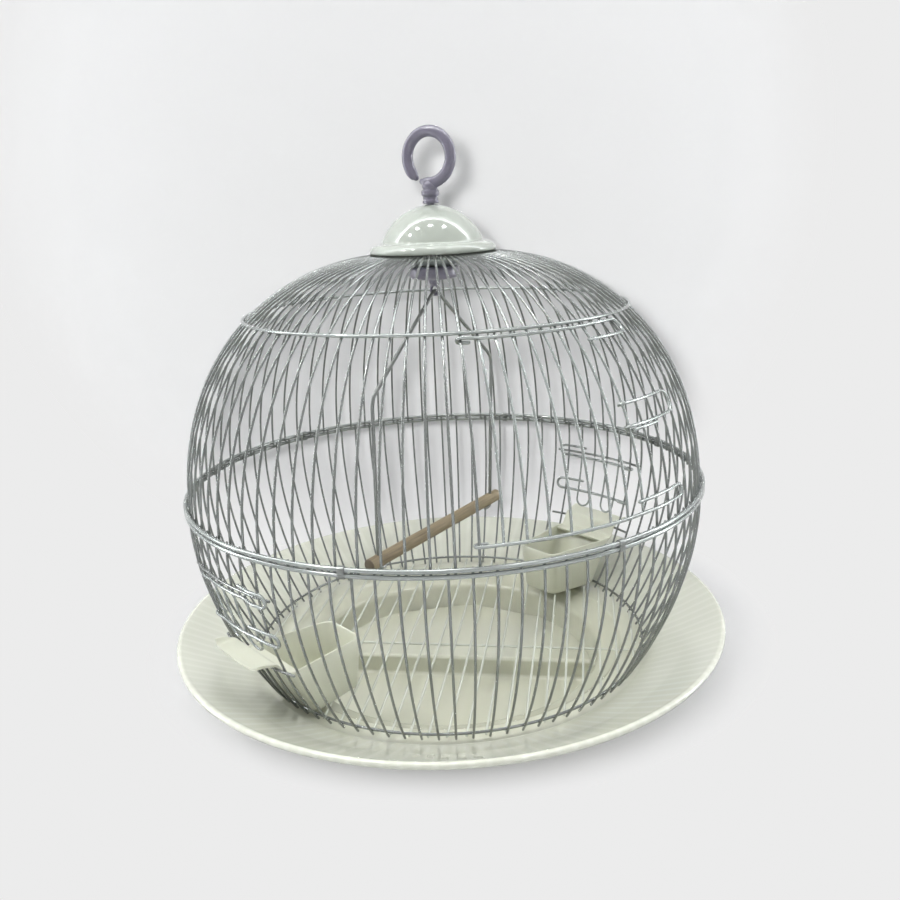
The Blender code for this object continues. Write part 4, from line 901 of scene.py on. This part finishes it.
# Hanging ring. An open ring of round moulded plastic on a collared stem that passes down through the
# cap, the crown and the clamp plate into the nut.
foot = cap_top + 0.0003
section = [(0.0, foot + 0.0150), (0.0020, foot + 0.0146), (0.0038, foot + 0.0138), (0.0050, foot + 0.0122),
           (0.0053, foot + 0.0108), (0.0049, foot + 0.0094), (0.0048, foot + 0.0088), (0.0057, foot + 0.0082),
           (0.0059, foot + 0.0074), (0.0059, foot + 0.0058), (0.0056, foot + 0.0051), (0.0048, foot + 0.0044),
           (0.0048, foot + 0.0026), (0.0053, foot + 0.0018), (0.0053, foot + 0.0004), (0.0049, foot),
           (0.0029, foot), (0.0029, nut_top - 0.0040), (0.0022, nut_top - 0.0047), (0.0, nut_top - 0.0047)]
profile = np.array(section)
along = lengths(profile)
at = np.sort(np.concatenate((np.linspace(0.0, along[-1], 120), along)))
stem = turned(at_lengths(profile, at)[np.concatenate(([True], np.diff(at) > 1e-6))], 64)
ring_across = np.array((math.cos(math.radians(-30.0)), math.sin(math.radians(-30.0)), 0.0))
loop_radius = 0.0158
loop_sweep = 340.0
ring_middle = np.array((0.0, 0.0, foot + 0.0129 + loop_radius))
sweep = np.linspace(0.0, loop_sweep, 100)
turn = np.radians(-110 + sweep)
loop = (ring_middle + loop_radius * (np.cos(turn)[:, None] * ring_across
        + np.sin(turn)[:, None] * np.array((0.0, 0.0, 1.0))))
near_end = np.minimum(sweep, loop_sweep - sweep)
thickness = 0.0037 * np.minimum(1.0, 0.55 + 0.45 * np.sqrt(np.clip(near_end / 14.0, 0, 1)))
piece("hanger_ring", [stem, wires(loop, thickness, 32)], lavender, "hanger", "hanger_plastic", "hanging_ring")

# Swing. A wire bent over the eye, out to two shoulders and straight down through the perch, with its
# feet turned in underneath.
bow_wire = 0.00125
pivot = np.array((0.0, 0.0, eye_height - (eye_radius - eye_wire - bow_wire - 0.0003)))
tilt, lean = math.radians(5.0), math.radians(3.0)
lean_turn = np.array(((math.cos(lean), 0.0, -math.sin(lean)), (0.0, 1.0, 0.0),
                      (math.sin(lean), 0.0, math.cos(lean))))
tilt_turn = np.array(((1.0, 0.0, 0.0), (0.0, math.cos(tilt), -math.sin(tilt)),
                      (0.0, math.sin(tilt), math.cos(tilt))))
hung = about_upright(swing_turn) @ tilt_turn @ lean_turn
half_path = np.array(((0.0, 0.0), (0.0012, -0.0003), (0.0027, -0.0014), (0.0600, -0.0543), (0.0637, -0.0583),
                      (0.0650, -0.0640), (0.0650, -0.1783), (0.0646, -0.1794), (0.0630, -0.1800),
                      (0.0590, -0.1800)))
path = np.concatenate((half_path[:0:-1] * (-1.0, 1.0), half_path))
bent = eased(path, 0.0008, 3)
path = pivot + np.column_stack((bent[:, 0], np.zeros(len(bent)), bent[:, 1])) @ hung.T
swing_silver = wire_paint("swing_silver", (0.20, 0.21, 0.20), 0.6, 0.22)
piece("swing_bow", [wires(path, bow_wire, 14)], swing_silver, "swing", "swing_wire", "swing_wire")


# Perch. A sawn wooden dowel, drilled near both ends for the wire.
def perch_wood():
    """Bare beech: long fibres along the dowel, slow bands of tone, darker pores and dark sawn ends."""
    material, tree, shader = surfaced("perch_wood")
    where = node(tree, "TexCoord").outputs["Object"]
    lay = node(tree, "Mapping", Vector=where, Location=-hung.T @ pivot,
               Rotation=Matrix(hung.T.tolist()).to_euler()).outputs["Vector"]
    stretch = node(tree, "Mapping", Vector=lay, Scale=(0.06, 1.0, 1.0)).outputs["Vector"]
    fibre = node(tree, "TexNoise", Vector=stretch, Scale=900.0, Detail=6.0).outputs["Fac"]
    band = node(tree, "TexNoise", Vector=stretch, Scale=160.0, Detail=3.0).outputs["Fac"]
    mix = maths(tree, "MULTIPLY_ADD", fibre, 0.55, maths(tree, "MULTIPLY", band, 0.45))
    tone = ramp(tree, mix, (0.30, (0.125, 0.090, 0.048)), (0.68, (0.31, 0.255, 0.155)))
    reach = maths(tree, "ABSOLUTE", node(tree, "SeparateXYZ", lay).outputs["X"])
    sawn = node(tree, "MapRange", reach, From_Min=0.0736, From_Max=0.0742, To_Max=0.75).outputs["Result"]
    ends = node(tree, "Mix", data_type="RGBA", Factor=sawn, A=tone, B=(0.045, 0.030, 0.018, 1.0))
    dent = node(tree, "Bump", Strength=0.5, Distance=0.0002, Height=fibre)
    feed(tree, shader, {"Roughness": 0.62, "Base Color": ends.outputs["Result"],
                        "Normal": dent.outputs["Normal"]})
    return material


perch_drop = 0.1735
sides = 40
spans = np.array((-0.0745, -0.0742, -0.0737, *np.linspace(-0.068, 0.068, 40), 0.0737, 0.0742, 0.0745))
radii = np.full(len(spans), 0.0045)
radii[[0, -1]] = 0.0040
radii[[1, -2]] = 0.0043
turn = np.arange(sides) * math.tau / sides
rows = np.stack((np.repeat(spans[:, None], sides, 1), radii[:, None] * np.cos(turn),
                 radii[:, None] * np.sin(turn) - perch_drop), -1) @ hung.T + pivot
points = np.concatenate((rows.reshape(-1, 3), [rows[0].mean(0), rows[-1].mean(0)]))
pole = sides * len(spans)
faces = grid_faces(len(spans), sides, False, True).tolist()
faces += flipped(fan(pole, 0, sides)).tolist() + fan(pole + 1, pole - sides, sides).tolist()
piece("perch_dowel", [(points, faces)], perch_wood(), "swing", "perch_wood", "perch")
